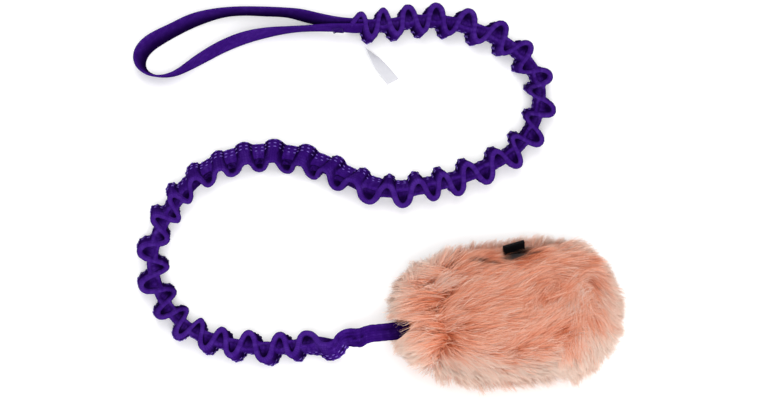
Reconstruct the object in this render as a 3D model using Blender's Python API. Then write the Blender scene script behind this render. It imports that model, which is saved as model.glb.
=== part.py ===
"""Bungee tug toy: a webbing hand loop, a ruffled webbing sleeve over an elastic
core, a tail strap, and a long-pile pouch that opens like a clam.

Metres, +Z up. The origin is the middle of the flat underside of the pouch. The
toy lies on the floor z = 0 in a loose S, with the hand loop to -X and +Y.
"""

import math

import bmesh
import bpy
import numpy as np
from mathutils import Matrix, Vector

for old in list(bpy.data.objects):
    bpy.data.objects.remove(old, do_unlink=True)

# ---------------------------------------------------------------- dimensions
GAP = 0.0003  # between pieces that touch

# The S is drawn on a slanted sheet: u to the right, v down, one step of the
# sheet being 0.7 mm where it crosses the floor, seen 60 degrees above the floor.
SHEET_STEP = 0.0007
SHEET_MID = (382.0, 200.0)
SHEET_SLANT = math.radians(60.0)
SHEET_REACH = SHEET_STEP * 764 * 85 / 36
POUCH_ON_SHEET = (507.0, 310.0, 0.033)  # u, v and height of the pouch's middle

SLEEVE_R = 0.0125  # ruffled sleeve, over its ruffles
SLEEVE_BORE_R = 0.0046
CORE_R = 0.0040  # elastic core
SLEEVE_SIDES = 10
CORE_SIDES = 8
STRETCH_PARTS = 4  # lengths of sleeve, one for each stretch joint

WEB_WIDTH = 0.014  # hand loop and tail strap webbing
WEB_THICK = 0.0016

LABEL_WIDTH = 0.010
LABEL_THICK = 0.0005

POUCH_YAW = math.radians(6.0)
SEAM_Z = 0.030  # height of the mouth and the fold
FUR_A, FUR_B, FUR_TOP, FUR_BOTTOM = 0.080, 0.054, 0.034, 0.0318
SKIN_A, SKIN_B, SKIN_TOP, SKIN_BOTTOM = 0.0635, 0.0385, 0.0175, 0.0150
LINING_THICK = 0.0014
TAPE_INNER, TAPE_OUTER, TAPE_THICK = 0.0390, 0.0455, 0.0014
TAPE_FROM, TAPE_TO = math.radians(38.0), math.radians(142.0)
FOLD_Y = -0.0420  # the hinge line of the clam
FOLD_ANGLE = math.radians(34.0)

TAB_X, TAB_ROOT_Y, TAB_ROOT_Z = 0.0104, 0.0418, SEAM_Z + 0.0032
TAB_WIDTH, TAB_LENGTH, TAB_THICK = 0.0150, 0.0095, 0.0017
TAB_TILT, TAB_TURN = math.radians(78.0), math.radians(12.0)

ANCHOR_DEPTH = 0.0110  # of the hand loop's ends in the sleeve
ANCHOR_WIDTH, ANCHOR_THICK = 0.0064, 0.0036

SWING_X = -0.0880  # where the tail strap swings on the pouch, in pouch axes
STRAP_Y = -0.0062

# Middle line of the sleeve on the sheet, from the hand loop to the tail strap.
SLEEVE_ROUTE = [
    (357, 25), (382, 25.5), (407, 22.3), (433, 20.8), (461.5, 25.3), (492, 36),
    (517.5, 52.3), (535.7, 75.6), (539, 104.7), (528, 133.3), (510.6, 152.6),
    (481.8, 168.5), (453.6, 179.5), (430.2, 184.8), (402.4, 189.5), (378, 188),
    (355, 181), (338, 173.5), (320, 165.5), (304, 160.5), (273.6, 156), (245.8, 158),
    (219.6, 165.6), (196.9, 178.6), (179.8, 195.2), (166.3, 216), (153.3, 250.8),
    (155.2, 280), (168, 306.3), (188.4, 328), (211, 339), (236, 345.2),
    (268.3, 348), (295.3, 346.5), (328, 345),
]

# Hand loop on the sheet: u, v, height of the webbing's middle in mm, and how far
# its upper edge leans towards the inside of the loop in degrees.
HANDLE_ROUTE = [
    (351.3, 24.2, 12.5, -2), (342, 23.4, 12.0, -2), (330, 21.6, 10.5, -3),
    (316, 18.6, 9.0, -4), (304, 15.8, 8.2, -4), (288, 12.8, 7.6, 6),
    (268, 11.6, 7.4, 8), (246, 11.0, 7.4, 10), (224, 12.4, 7.4, 7),
    (205, 16.6, 7.3, -4), (188, 22.6, 7.1, -12), (172, 30.6, 7.0, -14),
    (157, 38.6, 6.9, -22), (146.5, 46.2, 6.8, -28), (140.2, 56.0, 6.6, -32),
    (140.6, 66.0, 6.6, -32), (148.0, 73.4, 6.6, -32), (160.0, 76.2, 6.6, -32),
    (174.0, 73.6, 6.8, -22), (190, 65.0, 7.3, -6), (205, 56.0, 7.4, 3),
    (222, 46.8, 7.4, 6), (244, 38.0, 7.4, 4), (268, 32.4, 7.4, -6),
    (290, 29.6, 7.4, -18), (308, 28.4, 8.2, -20), (324, 27.8, 10.0, -16),
    (340, 27.7, 12.0, -12), (351.3, 28.1, 12.5, -8),
]

# Tail strap on the sheet: u, v and height in mm; it ends at the pouch.
STRAP_ROUTE = [(329.5, 345), (336, 343.6), (343, 340.6), (352, 338.6), (361, 337)]

# Care label on the sheet: u, v, height in mm, and how far it lies over from
# standing on its edge, in degrees.
LABEL_ROUTE = [
    (364.5, 46.6, 8.4, 62), (367.5, 51.5, 7.0, 64), (372.5, 57.0, 5.6, 68),
    (380.0, 65.5, 3.8, 74), (387.0, 74.0, 2.4, 80), (393.0, 81.6, 1.6, 84),
]

PURPLE = (0.075, 0.012, 0.30)
PEACH = (0.86, 0.42, 0.28)
BLACK = (0.012, 0.012, 0.014)


# ------------------------------------------------------------------- helpers
def sheet_to_room(u, v, z):
    """The point at height z that lies under (u, v) of the slanted sheet."""
    c, s = math.cos(SHEET_SLANT), math.sin(SHEET_SLANT)
    a = (u - SHEET_MID[0]) * SHEET_STEP / SHEET_REACH
    b = (SHEET_MID[1] - v) * SHEET_STEP / SHEET_REACH
    line = np.array([a, c + b * s, -s + b * c])
    eye = -SHEET_REACH * np.array([0.0, c, -s])
    return eye + line * ((z - eye[2]) / line[2])


SHEET_SHIFT = sheet_to_room(*POUCH_ON_SHEET) * (1, 1, 0)


def room(u, v, z):
    return sheet_to_room(u, v, z) - SHEET_SHIFT


def smooth_line(points, count):
    """count points, evenly spaced along a natural cubic curve through points."""
    p = np.asarray(points, float)
    n = len(p)
    t = np.concatenate(([0.0], np.cumsum(np.linalg.norm(np.diff(p[:, :3], axis=0), axis=1))))
    h = np.diff(t)
    m = np.zeros((n, n))
    r = np.zeros((n, p.shape[1]))
    m[0, 0] = m[-1, -1] = 1.0
    for i in range(1, n - 1):
        m[i, i - 1 : i + 2] = h[i - 1], 2 * (h[i - 1] + h[i]), h[i]
        r[i] = 6 * ((p[i + 1] - p[i]) / h[i] - (p[i] - p[i - 1]) / h[i - 1])
    k = np.linalg.solve(m, r)

    def at(x):
        i = np.clip(np.searchsorted(t, x, side="right") - 1, 0, n - 2)
        d, e, w = (x - t[i])[:, None], (t[i + 1] - x)[:, None], h[i][:, None]
        return (
            (k[i] * e**3 + k[i + 1] * d**3) / (6 * w)
            + (p[i] / w - k[i] * w / 6) * e
            + (p[i + 1] / w - k[i + 1] * w / 6) * d
        )

    fine = at(np.linspace(0, t[-1], 4001))
    run = np.concatenate(([0.0], np.cumsum(np.linalg.norm(np.diff(fine[:, :3], axis=0), axis=1))))
    even = np.linspace(0, run[-1], count)
    return np.stack([np.interp(even, run, fine[:, j]) for j in range(p.shape[1])], axis=1)


def directions(line):
    d = np.gradient(line[:, :3], axis=0)
    return d / np.linalg.norm(d, axis=1)[:, None]


def paint(name, colour, roughness, metallic=0.0):
    m = bpy.data.materials.new(name)
    m.use_nodes = True
    shader = m.node_tree.nodes["Principled BSDF"]
    shader.inputs["Base Color"].default_value = (*colour, 1.0)
    shader.inputs["Roughness"].default_value = roughness
    shader.inputs["Metallic"].default_value = metallic
    return m


def add_object(name, bm, material, parent=None, smooth_angle=None):
    bmesh.ops.recalc_face_normals(bm, faces=bm.faces)
    mesh = bpy.data.meshes.new(name)
    bm.to_mesh(mesh)
    bm.free()
    if smooth_angle is not None:
        mesh.shade_smooth()
        mesh.set_sharp_from_angle(angle=math.radians(smooth_angle))
    ob = bpy.data.objects.new(name, mesh)
    bpy.context.scene.collection.objects.link(ob)
    ob.data.materials.append(material)
    if parent is not None:
        ob.parent = parent
    return ob


def empty_at(name, point, yaw=0.0, parent=None):
    e = bpy.data.objects.new(name, None)
    bpy.context.scene.collection.objects.link(e)
    e.matrix_world = Matrix.Translation(Vector(point)) @ Matrix.Rotation(yaw, 4, "Z")
    if parent is not None:
        e.parent = parent
        e.matrix_parent_inverse = Matrix.Identity(4)
    return e


def put_on(ob, pivot):
    """Hangs a piece that was made in room positions on a pivot, without moving it."""
    bpy.context.view_layer.update()
    inverse = pivot.matrix_world.inverted()
    ob.data.transform(inverse)
    ob.parent = pivot
    ob.matrix_parent_inverse = Matrix.Identity(4)


def ring_frame(t):
    side = np.cross((0.0, 0.0, 1.0), t)
    side /= np.linalg.norm(side)
    return side, np.cross(t, side)


def polygon(sides, radius):
    return [
        (radius * math.cos(2 * math.pi * (k + 0.5) / sides), radius * math.sin(2 * math.pi * (k + 0.5) / sides))
        for k in range(sides)
    ]


def sweep_rings(bm, line, section_at):
    """Rings of vertices along a line; section_at(i) gives (side, up) offsets and axes."""
    rings = []
    for i, point in enumerate(line):
        side, up, section = section_at(i)
        rings.append([bm.verts.new(Vector(point[:3] + side * a + up * b)) for a, b in section])
    return rings


def skin_rings(bm, rings):
    n = len(rings[0])
    for a, b in zip(rings, rings[1:]):
        for k in range(n):
            bm.faces.new((a[k], a[(k + 1) % n], b[(k + 1) % n], b[k]))


def solid_sweep(bm, line, section_at):
    rings = sweep_rings(bm, line, section_at)
    skin_rings(bm, rings)
    bm.faces.new(rings[0])
    bm.faces.new(reversed(rings[-1]))


def pipe(bm, line, dirs, outer, inner):
    """An open pipe with flat ring ends."""
    frames = [ring_frame(t) for t in dirs]
    out = sweep_rings(bm, line, lambda i: (*frames[i], outer))
    inn = sweep_rings(bm, line, lambda i: (*frames[i], inner))
    skin_rings(bm, out)
    skin_rings(bm, inn)
    n = len(outer)
    for a, b in ((out[0], inn[0]), (out[-1], inn[-1])):
        for k in range(n):
            bm.faces.new((a[k], a[(k + 1) % n], b[(k + 1) % n], b[k]))


# ----------------------------------------------------------------- materials
webbing = paint("purple_webbing", PURPLE, 0.75)
thread = paint("purple_thread", (0.11, 0.03, 0.40), 0.6)
elastic = paint("elastic_rubber", (0.05, 0.045, 0.05), 0.8)
satin = paint("label_satin", (0.85, 0.85, 0.87), 0.5)
pile = paint("peach_pile", PEACH, 0.9)
nylon = paint("black_nylon", BLACK, 0.6)
hooks = paint("hook_tape", (0.015, 0.015, 0.015), 0.7)
loops = paint("loop_tape", (0.02, 0.02, 0.02), 0.95)

# -------------------------------------------------------------------- pivots
pouch = empty_at("pouch_frame", (0, 0, 0), POUCH_YAW)
bpy.context.view_layer.update()
fold = empty_at("fold_pivot", (0, FOLD_Y, SEAM_Z), 0.0, pouch)
tab_pivot = empty_at("tab_pivot", (TAB_X, TAB_ROOT_Y, TAB_ROOT_Z), TAB_TURN, pouch)


def in_pouch(x, y, z):
    c, s = math.cos(POUCH_YAW), math.sin(POUCH_YAW)
    return np.array([x * c - y * s, x * s + y * c, z])


# -------------------------------------------------------------------- sleeve
route = smooth_line([room(u, v, SLEEVE_R) for u, v in SLEEVE_ROUTE], 56)
route_dirs = directions(route)
whole = smooth_line([room(u, v, SLEEVE_R) for u, v in SLEEVE_ROUTE], 1121)
whole_dirs = directions(whole)
part_ends = [round(k * 1120 / STRETCH_PARTS) for k in range(STRETCH_PARTS + 1)]
sleeve_pivots = []
for k in range(STRETCH_PARTS):
    lo, hi = part_ends[k], part_ends[k + 1]
    index = np.round(np.linspace(lo, hi, 15)).astype(int)
    line, dirs = whole[index].copy(), whole_dirs[index]
    line[0] += dirs[0] * GAP / 2
    line[-1] -= dirs[-1] * GAP / 2
    pivot = empty_at(f"stretch_{k + 1}_pivot", whole[hi])
    sleeve_pivots.append(pivot)
    bm = bmesh.new()
    pipe(bm, line, dirs, polygon(SLEEVE_SIDES, SLEEVE_R), polygon(SLEEVE_SIDES, SLEEVE_BORE_R))
    put_on(add_object(f"sleeve_{k + 1}", bm, webbing, smooth_angle=50), pivot)
    if k == 0:  # the hand loop's ends are sewn into the first of the bore
        line[0] += dirs[0] * ANCHOR_DEPTH
        line = line[[0, *range(2, len(line))]]
        dirs = dirs[[0, *range(2, len(dirs))]]
    bm = bmesh.new()
    frames = [ring_frame(t) for t in dirs]
    section = polygon(CORE_SIDES, CORE_R)
    solid_sweep(bm, line, lambda i: (*frames[i], section))
    put_on(add_object(f"elastic_core_{k + 1}", bm, elastic, smooth_angle=60), pivot)


# ----------------------------------------------------------------- hand loop
def webbing_band(bm, line, acrosses, width=WEB_WIDTH, thick=WEB_THICK):
    """A band whose width runs along acrosses and whose faces look sideways."""
    dirs = directions(line)
    w, t = width / 2, thick / 2
    c = min(t * 0.45, w * 0.45)
    section = [(-t, -w + c), (-t + c, -w), (t - c, -w), (t, -w + c), (t, w - c), (t - c, w), (-t + c, w), (-t, w - c)]

    def at(i):
        across = acrosses[i] - dirs[i] * np.dot(acrosses[i], dirs[i])
        across /= np.linalg.norm(across)
        return np.cross(across, dirs[i]), across, section

    solid_sweep(bm, line, at)


keys = [(*room(u, v, z / 1000), lean) for u, v, z, lean in HANDLE_ROUTE]
loop = smooth_line(keys, 72)
loop_dirs = directions(loop)
acrosses = []
for point, t in zip(loop, loop_dirs):
    inward = np.cross((0.0, 0.0, 1.0), t)
    inward /= np.linalg.norm(inward)
    lean = math.radians(point[3])
    acrosses.append(math.cos(lean) * np.array([0, 0, 1.0]) + math.sin(lean) * inward)
low = np.array([p[2] - abs(a[2]) * WEB_WIDTH / 2 - WEB_THICK / 2 * math.hypot(a[0], a[1]) for p, a in zip(loop, acrosses)])
loop[:, 2] += np.maximum(0.0, -low)
loop_pivot = empty_at("handle_pivot", (loop[0, 0], (loop[0, 1] + loop[-1, 1]) / 2, SLEEVE_R))
bm = bmesh.new()
webbing_band(bm, loop, acrosses)
put_on(add_object("handle_loop", bm, webbing, smooth_angle=50), loop_pivot)

# The loop's two ends, pressed together and sewn into the sleeve.
first = whole[0] + whole_dirs[0] * (ANCHOR_DEPTH - GAP)
last = whole[0] - whole_dirs[0] * 0.0014
bm = bmesh.new()
webbing_band(bm, np.linspace(last, first, 3), [np.array([0, 0, 1.0])] * 3, ANCHOR_WIDTH, ANCHOR_THICK)
put_on(add_object("handle_anchor", bm, webbing, smooth_angle=40), sleeve_pivots[0])

# Box stitch that closes the loop: one thread along a box and its diagonals, on
# the outer face of the nearer layer.
near = loop[-5:]
along = near[-1, :3] - near[0, :3]
along /= np.linalg.norm(along)
up = acrosses[-3] - along * np.dot(acrosses[-3], along)
up /= np.linalg.norm(up)
outward = -np.cross(up, along)
THREAD_R = 0.00035
box_mid = near[-3, :3]
BOX_L, BOX_H = 0.0070, 0.0085
corners = [(-1, -1), (1, -1), (1, 1), (-1, 1), (-1, -1 + 0.16), (0.86, 0.9)]
face_points = [p[:3] + a * b * BOX_H * 0.6 for p, a in zip(near, acrosses[-5:]) for b in (-1, 1)]
off = max(np.dot(p - box_mid, outward) for p in face_points) + WEB_THICK / 2 + GAP + THREAD_R
stitch_line = []
for (a0, b0), (a1, b1) in zip(corners, corners[1:]):
    for f in np.linspace(0, 1, 5)[:-1]:
        stitch_line.append((a0 + (a1 - a0) * f, b0 + (b1 - b0) * f))
stitch_line.append(corners[-1])
stitch = np.array([box_mid + along * a * BOX_L / 2 + up * b * BOX_H / 2 + outward * off for a, b in stitch_line])
lift = np.linspace(0, 0.0016, len(stitch))
stitch += outward * lift[:, None]
dirs = directions(stitch)
square = polygon(4, THREAD_R)
bm = bmesh.new()
solid_sweep(bm, stitch, lambda i: (outward, np.cross(dirs[i], outward), square))
put_on(add_object("handle_stitching", bm, thread), loop_pivot)

# --------------------------------------------------------------------- label
keys = [(*room(u, v, z / 1000), lie) for u, v, z, lie in LABEL_ROUTE]
label = smooth_line(keys, 12)
label_dirs = directions(label)
acrosses = []
for point, t in zip(label, label_dirs):
    sideways = np.cross((0.0, 0.0, 1.0), t)
    sideways /= np.linalg.norm(sideways)
    lie = math.radians(point[3])
    acrosses.append(math.cos(lie) * np.array([0, 0, 1.0]) - math.sin(lie) * sideways)
low = np.array([p[2] - abs(a[2]) * LABEL_WIDTH / 2 - LABEL_THICK / 2 for p, a in zip(label, acrosses)])
label[:, 2] += np.maximum(0.0, 0.0004 - low)
label_pivot = empty_at("label_pivot", label[0, :3])
bm = bmesh.new()
webbing_band(bm, label, acrosses, LABEL_WIDTH, LABEL_THICK)
put_on(add_object("care_label", bm, satin, smooth_angle=40), label_pivot)

# ---------------------------------------------------------------- tail strap
swing = in_pouch(SWING_X, STRAP_Y, SEAM_Z)
swing_pivot = empty_at("swing_pivot", swing, POUCH_YAW)
bpy.context.view_layer.update()
heading = in_pouch(1.0, 0.0, 0.0)
start = whole[-1] + whole_dirs[-1] * 3 * GAP
second = whole[-1] + whole_dirs[-1] * 0.0045
keys = [start, second]
for u, v in STRAP_ROUTE[2:]:
    f = (u - STRAP_ROUTE[0][0]) / (374.0 - STRAP_ROUTE[0][0])
    z = SLEEVE_R + (SEAM_Z - SLEEVE_R) * (f * f * (3 - 2 * f))
    keys.append(room(u, v, z))
keys += [swing - heading * 0.0035, swing]
strap = smooth_line(keys, 20)
strap_dirs = directions(strap)
# The strap stands nearly on its edge in the sleeve and lies flat at the pouch.
bm = bmesh.new()
acrosses = []
for i, t in enumerate(strap_dirs):
    sideways = np.cross((0.0, 0.0, 1.0), t)
    sideways /= np.linalg.norm(sideways)
    f = min(1.0, i / 9)
    lie = math.radians(55 + 35 * f * f * (3 - 2 * f))
    acrosses.append(math.cos(lie) * np.cross(t, sideways) + math.sin(lie) * sideways)
half, ht = WEB_WIDTH / 2, WEB_THICK / 2
rings = []
flat = [(-ht, -half), (ht, -half), (ht, half), (-ht, half)]
for i, p in enumerate(strap):
    across = acrosses[i] - strap_dirs[i] * np.dot(acrosses[i], strap_dirs[i])
    across /= np.linalg.norm(across)
    face = np.cross(across, strap_dirs[i])
    rings.append([bm.verts.new(Vector(p + face * a + across * b)) for a, b in flat])
# Rounded end about the swing axis.
across = in_pouch(0.0, 1.0, 0.0)
for turn in (22, 45, 66, 84):
    a = math.radians(turn)
    p = swing + heading * half * math.sin(a)
    w = half * math.cos(a)
    rings.append([bm.verts.new(Vector(p + np.array([0, 0, s]) * 1.0 + across * b * w)) for s, b in ((ht, -1), (-ht, -1), (-ht, 1), (ht, 1))])
# Match the rounded end's corners to the band's corners.
last = rings[19]
for j in range(20, len(rings)):
    ordered = []
    for v in last:
        d = [(v.co - w.co).length for w in rings[j]]
        ordered.append(rings[j][d.index(min(d))])
    rings[j] = ordered
    last = ordered
skin_rings(bm, rings)
bm.faces.new(rings[0])
bm.faces.new(reversed(rings[-1]))
put_on(add_object("tail_strap", bm, webbing, smooth_angle=40), swing_pivot)

# Cross stitch that closes the sleeve's end on the tail strap: one zigzag thread
# on the upper face of the strap.
zig = []
for j in range(13):
    i = 8 + (j * 5) // 12
    f = (j * 5) / 12 - (j * 5) // 12
    p = strap[i] * (1 - f) + strap[i + 1] * f
    zig.append((p, i, 1 if j % 2 else -1))
points = []
for p, i, side in zig:
    t = strap_dirs[i]
    across = acrosses[i] - t * np.dot(acrosses[i], t)
    across /= np.linalg.norm(across)
    face = np.cross(t, across)
    face *= math.copysign(1.0, face[2])
    points.append(p + across * side * 0.0042 + face * (ht + GAP + THREAD_R + 0.0003))
zigzag = np.array(points)
dirs = directions(zigzag)
bm = bmesh.new()
solid_sweep(bm, zigzag, lambda i: (np.array([0, 0, 1.0]), np.cross(dirs[i], (0, 0, 1.0)) / np.linalg.norm(np.cross(dirs[i], (0, 0, 1.0))), square))
put_on(add_object("tail_stitching", bm, thread), swing_pivot)


# --------------------------------------------------------------------- pouch
def bowl_point(a, b, h, turn, rise, plan=2.6, dome=2.3):
    """A point of a half super-ellipsoid, tapered a little towards the tail strap."""
    ct, st = math.cos(turn), math.sin(turn)
    x = a * math.copysign(abs(ct) ** (2 / plan), ct)
    y = b * math.copysign(abs(st) ** (2 / plan), st) * (1 + 0.07 * x / a)
    cr, sr = math.cos(rise) ** (2 / dome), math.sin(rise) ** (2 / dome)
    return x * cr, y * cr, h * sr


def bowl(bm, outer, inner, sign, around=32, rises=6, floor=None):
    """A half shell: outer and inner bowls joined by a flat rim at the seam."""
    sets = []
    for a, b, h in (outer, inner):
        rings = []
        for j in range(rises):
            rise = math.radians(90) * j / rises
            ring = []
            for k in range(around):
                x, y, z = bowl_point(a, b, h, 2 * math.pi * (k + 0.5) / around, rise)
                z = SEAM_Z + sign * (z + GAP / 2)
                if floor is not None:
                    z = max(z, floor)
                ring.append(bm.verts.new((x, y, z)))
            rings.append(ring)
        z = SEAM_Z + sign * (h + GAP / 2)
        pole = bm.verts.new((0, 0, z if floor is None else max(z, floor)))
        skin_rings(bm, rings)
        n = around
        for k in range(n):
            bm.faces.new((rings[-1][k], rings[-1][(k + 1) % n], pole))
        sets.append(rings[0])
    for k in range(around):
        bm.faces.new((sets[0][k], sets[0][(k + 1) % around], sets[1][(k + 1) % around], sets[1][k]))


def cutter(name, bm):
    ob = add_object(name, bm, nylon, pouch)
    ob.hide_render = True
    ob.display_type = "WIRE"
    return ob


def prism(bm, outline, x0, x1):
    """A prism along X with a (y, z) outline."""
    a = [bm.verts.new((x0, y, z)) for y, z in outline]
    b = [bm.verts.new((x1, y, z)) for y, z in outline]
    n = len(outline)
    for k in range(n):
        bm.faces.new((a[k], a[(k + 1) % n], b[(k + 1) % n], b[k]))
    bm.faces.new(a)
    bm.faces.new(reversed(b))


def cut(ob, *tools):
    for tool in tools:
        m = ob.modifiers.new(tool.name, "BOOLEAN")
        m.operation = "DIFFERENCE"
        m.solver = "EXACT"
        m.object = tool


# Relief along the fold, so that the two shells can open.
bm = bmesh.new()
reach = 0.030
prism(
    bm,
    [
        (FOLD_Y + 0.0006, SEAM_Z),
        (FOLD_Y - reach, SEAM_Z + reach * math.tan(FOLD_ANGLE)),
        (FOLD_Y - reach, SEAM_Z - reach * math.tan(FOLD_ANGLE)),
    ],
    -0.10,
    0.10,
)
fold_relief = cutter("fold_relief", bm)

# Seat of the strap's sewn-in end, across both rims at the tail.
ANCHOR_X0, ANCHOR_X1 = SWING_X + half + GAP * 2, -SKIN_A - 0.0002
bm = bmesh.new()
prism(
    bm,
    [(STRAP_Y + s * (half + GAP), SEAM_Z + r * (ht + GAP)) for s, r in ((-1, -1), (1, -1), (1, 1), (-1, 1))],
    -0.10,
    -SKIN_A + 0.004,
)
anchor_seat = cutter("anchor_seat", bm)


def tape_mesh(bm, z0, z1, inner, outer, start, stop, steps=22):
    """A flat curved strip that follows the mouth, between two bowl outlines."""
    rings = []
    for k in range(steps + 1):
        turn = start + (stop - start) * k / steps
        low_x, low_y, _ = bowl_point(SKIN_A + inner - SKIN_B, inner, 0, turn, 0)
        top_x, top_y, _ = bowl_point(SKIN_A + outer - SKIN_B, outer, 0, turn, 0)
        rings.append([bm.verts.new(p) for p in ((low_x, low_y, z0), (top_x, top_y, z0), (top_x, top_y, z1), (low_x, low_y, z1))])
    skin_rings(bm, rings)
    bm.faces.new(rings[0])
    bm.faces.new(reversed(rings[-1]))


slack = math.radians(0.6)
bm = bmesh.new()
tape_mesh(bm, SEAM_Z - 0.004, SEAM_Z + TAPE_THICK + GAP * 1.5, TAPE_INNER - 0.004, TAPE_OUTER + GAP, TAPE_FROM - slack, TAPE_TO + slack)
hook_seat = cutter("hook_seat", bm)
bm = bmesh.new()
tape_mesh(bm, SEAM_Z - TAPE_THICK - GAP * 1.5, SEAM_Z + 0.004, TAPE_INNER - 0.004, TAPE_OUTER + GAP, TAPE_FROM - slack, TAPE_TO + slack)
loop_seat = cutter("loop_seat", bm)

# Room for the pull tab to flip in the pile of the upper shell.
bm = bmesh.new()
prism(
    bm,
    [
        (TAB_ROOT_Y - 0.0016, TAB_ROOT_Z - 0.0014),
        (TAB_ROOT_Y + 0.03, TAB_ROOT_Z - 0.0014),
        (TAB_ROOT_Y + 0.03, SEAM_Z + 0.05),
        (TAB_ROOT_Y - 0.0175, SEAM_Z + 0.05),
        (TAB_ROOT_Y - 0.0016, TAB_ROOT_Z + 0.0012),
    ],
    TAB_X - TAB_WIDTH / 2 - 0.0006,
    TAB_X + TAB_WIDTH / 2 + 0.0006,
)
bmesh.ops.rotate(bm, verts=bm.verts, cent=(TAB_X, TAB_ROOT_Y, 0), matrix=Matrix.Rotation(TAB_TURN, 3, "Z"))
tab_seat = cutter("tab_seat", bm)

bm = bmesh.new()
bowl(bm, (FUR_A, FUR_B, FUR_BOTTOM), (SKIN_A, SKIN_B, SKIN_BOTTOM), -1, floor=0.0)
lower = add_object("pouch_lower_fur", bm, pile, pouch, 60)
cut(lower, fold_relief, anchor_seat, loop_seat)

bm = bmesh.new()
bowl(bm, (FUR_A, FUR_B, FUR_TOP), (SKIN_A, SKIN_B, SKIN_TOP), 1)
upper = add_object("pouch_upper_fur", bm, pile, pouch, 60)
cut(upper, fold_relief, anchor_seat, hook_seat, tab_seat)

for name, top, sign in (("pouch_lower_lining", SKIN_BOTTOM, -1), ("pouch_upper_lining", SKIN_TOP, 1)):
    bm = bmesh.new()
    a, b, h = SKIN_A - GAP, SKIN_B - GAP, top - GAP
    bowl(bm, (a, b, h), (a - LINING_THICK, b - LINING_THICK, h - LINING_THICK), sign)
    add_object(name, bm, nylon, pouch, 60)

for name, z0, z1, material in (
    ("hook_tape", SEAM_Z + GAP / 2, SEAM_Z + GAP / 2 + TAPE_THICK, hooks),
    ("loop_tape", SEAM_Z - GAP / 2 - TAPE_THICK, SEAM_Z - GAP / 2, loops),
):
    bm = bmesh.new()
    tape_mesh(bm, z0, z1, TAPE_INNER, TAPE_OUTER, TAPE_FROM, TAPE_TO)
    add_object(name, bm, material, pouch)

# The strap's sewn-in end.
bm = bmesh.new()
prism(bm, [(STRAP_Y + s * half, SEAM_Z + r * ht) for s, r in ((-1, -1), (1, -1), (1, 1), (-1, 1))], ANCHOR_X0, ANCHOR_X1)
add_object("strap_anchor", bm, webbing, pouch)

# Pull tab: a folded piece of webbing, its free end a little thicker.
bm = bmesh.new()
c, s = math.cos(TAB_TILT), math.sin(TAB_TILT)
rings = []
for step, (d, t) in enumerate(((0.0, 0.7), (0.15, 1.0), (0.8, 1.0), (0.93, 1.12), (1.0, 0.7))):
    y, z = d * TAB_LENGTH * c, d * TAB_LENGTH * s
    h = TAB_THICK / 2 * t
    w = TAB_WIDTH / 2 * (0.96 if d == 1.0 else 1.0)
    rings.append([bm.verts.new((x * w, y - n * h * s, z + n * h * c)) for x, n in ((-1, -1), (1, -1), (1, 1), (-1, 1))])
skin_rings(bm, rings)
bm.faces.new(rings[0])
bm.faces.new(reversed(rings[-1]))
tab = add_object("pull_tab", bm, nylon, tab_pivot)

# The upper shell and its pieces turn about the fold.
bpy.context.view_layer.update()
for name in ("pouch_upper_fur", "pouch_upper_lining", "hook_tape"):
    ob = bpy.data.objects[name]
    ob.data.transform(Matrix.Translation((0, -FOLD_Y, -SEAM_Z)))
    ob.parent = fold
bpy.context.view_layer.update()
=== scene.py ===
import math

import bpy
import numpy as np
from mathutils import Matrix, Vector, kdtree


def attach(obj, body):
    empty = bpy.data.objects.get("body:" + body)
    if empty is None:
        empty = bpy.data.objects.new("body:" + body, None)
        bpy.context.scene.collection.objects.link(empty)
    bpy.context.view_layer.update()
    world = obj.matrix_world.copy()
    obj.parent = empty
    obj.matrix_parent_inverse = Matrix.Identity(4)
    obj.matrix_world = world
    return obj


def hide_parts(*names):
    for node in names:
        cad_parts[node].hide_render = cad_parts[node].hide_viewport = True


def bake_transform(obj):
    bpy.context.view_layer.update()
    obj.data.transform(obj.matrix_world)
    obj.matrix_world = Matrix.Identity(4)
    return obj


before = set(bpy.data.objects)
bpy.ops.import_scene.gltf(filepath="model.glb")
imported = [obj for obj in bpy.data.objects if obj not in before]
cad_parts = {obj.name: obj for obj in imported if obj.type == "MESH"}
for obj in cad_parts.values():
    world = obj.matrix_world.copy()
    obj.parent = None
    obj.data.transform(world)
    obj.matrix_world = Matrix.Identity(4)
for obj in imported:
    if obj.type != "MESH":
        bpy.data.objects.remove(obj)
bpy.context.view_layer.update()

rng = np.random.default_rng(7)

# ------------------------------------------------------------ the shared sheet
SHEET_STEP = 0.0007
SHEET_MID = (382.0, 200.0)
SHEET_SLANT = math.radians(60.0)
SHEET_REACH = SHEET_STEP * 764 * 85 / 36
POUCH_ON_SHEET = (507.0, 310.0, 0.033)
SLEEVE_R = 0.0125
WEB_WIDTH, WEB_THICK = 0.014, 0.0016
LABEL_WIDTH = 0.010
POUCH_YAW = math.radians(6.0)
SEAM_Z = 0.030
FUR_A, FUR_B, FUR_TOP, FUR_BOTTOM = 0.080, 0.054, 0.034, 0.0318
SKIN_A, SKIN_B, SKIN_TOP, SKIN_BOTTOM = 0.0635, 0.0385, 0.0175, 0.0150
FOLD_Y = -0.0420
SWING_X, STRAP_Y = -0.0880, -0.0062

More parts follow.
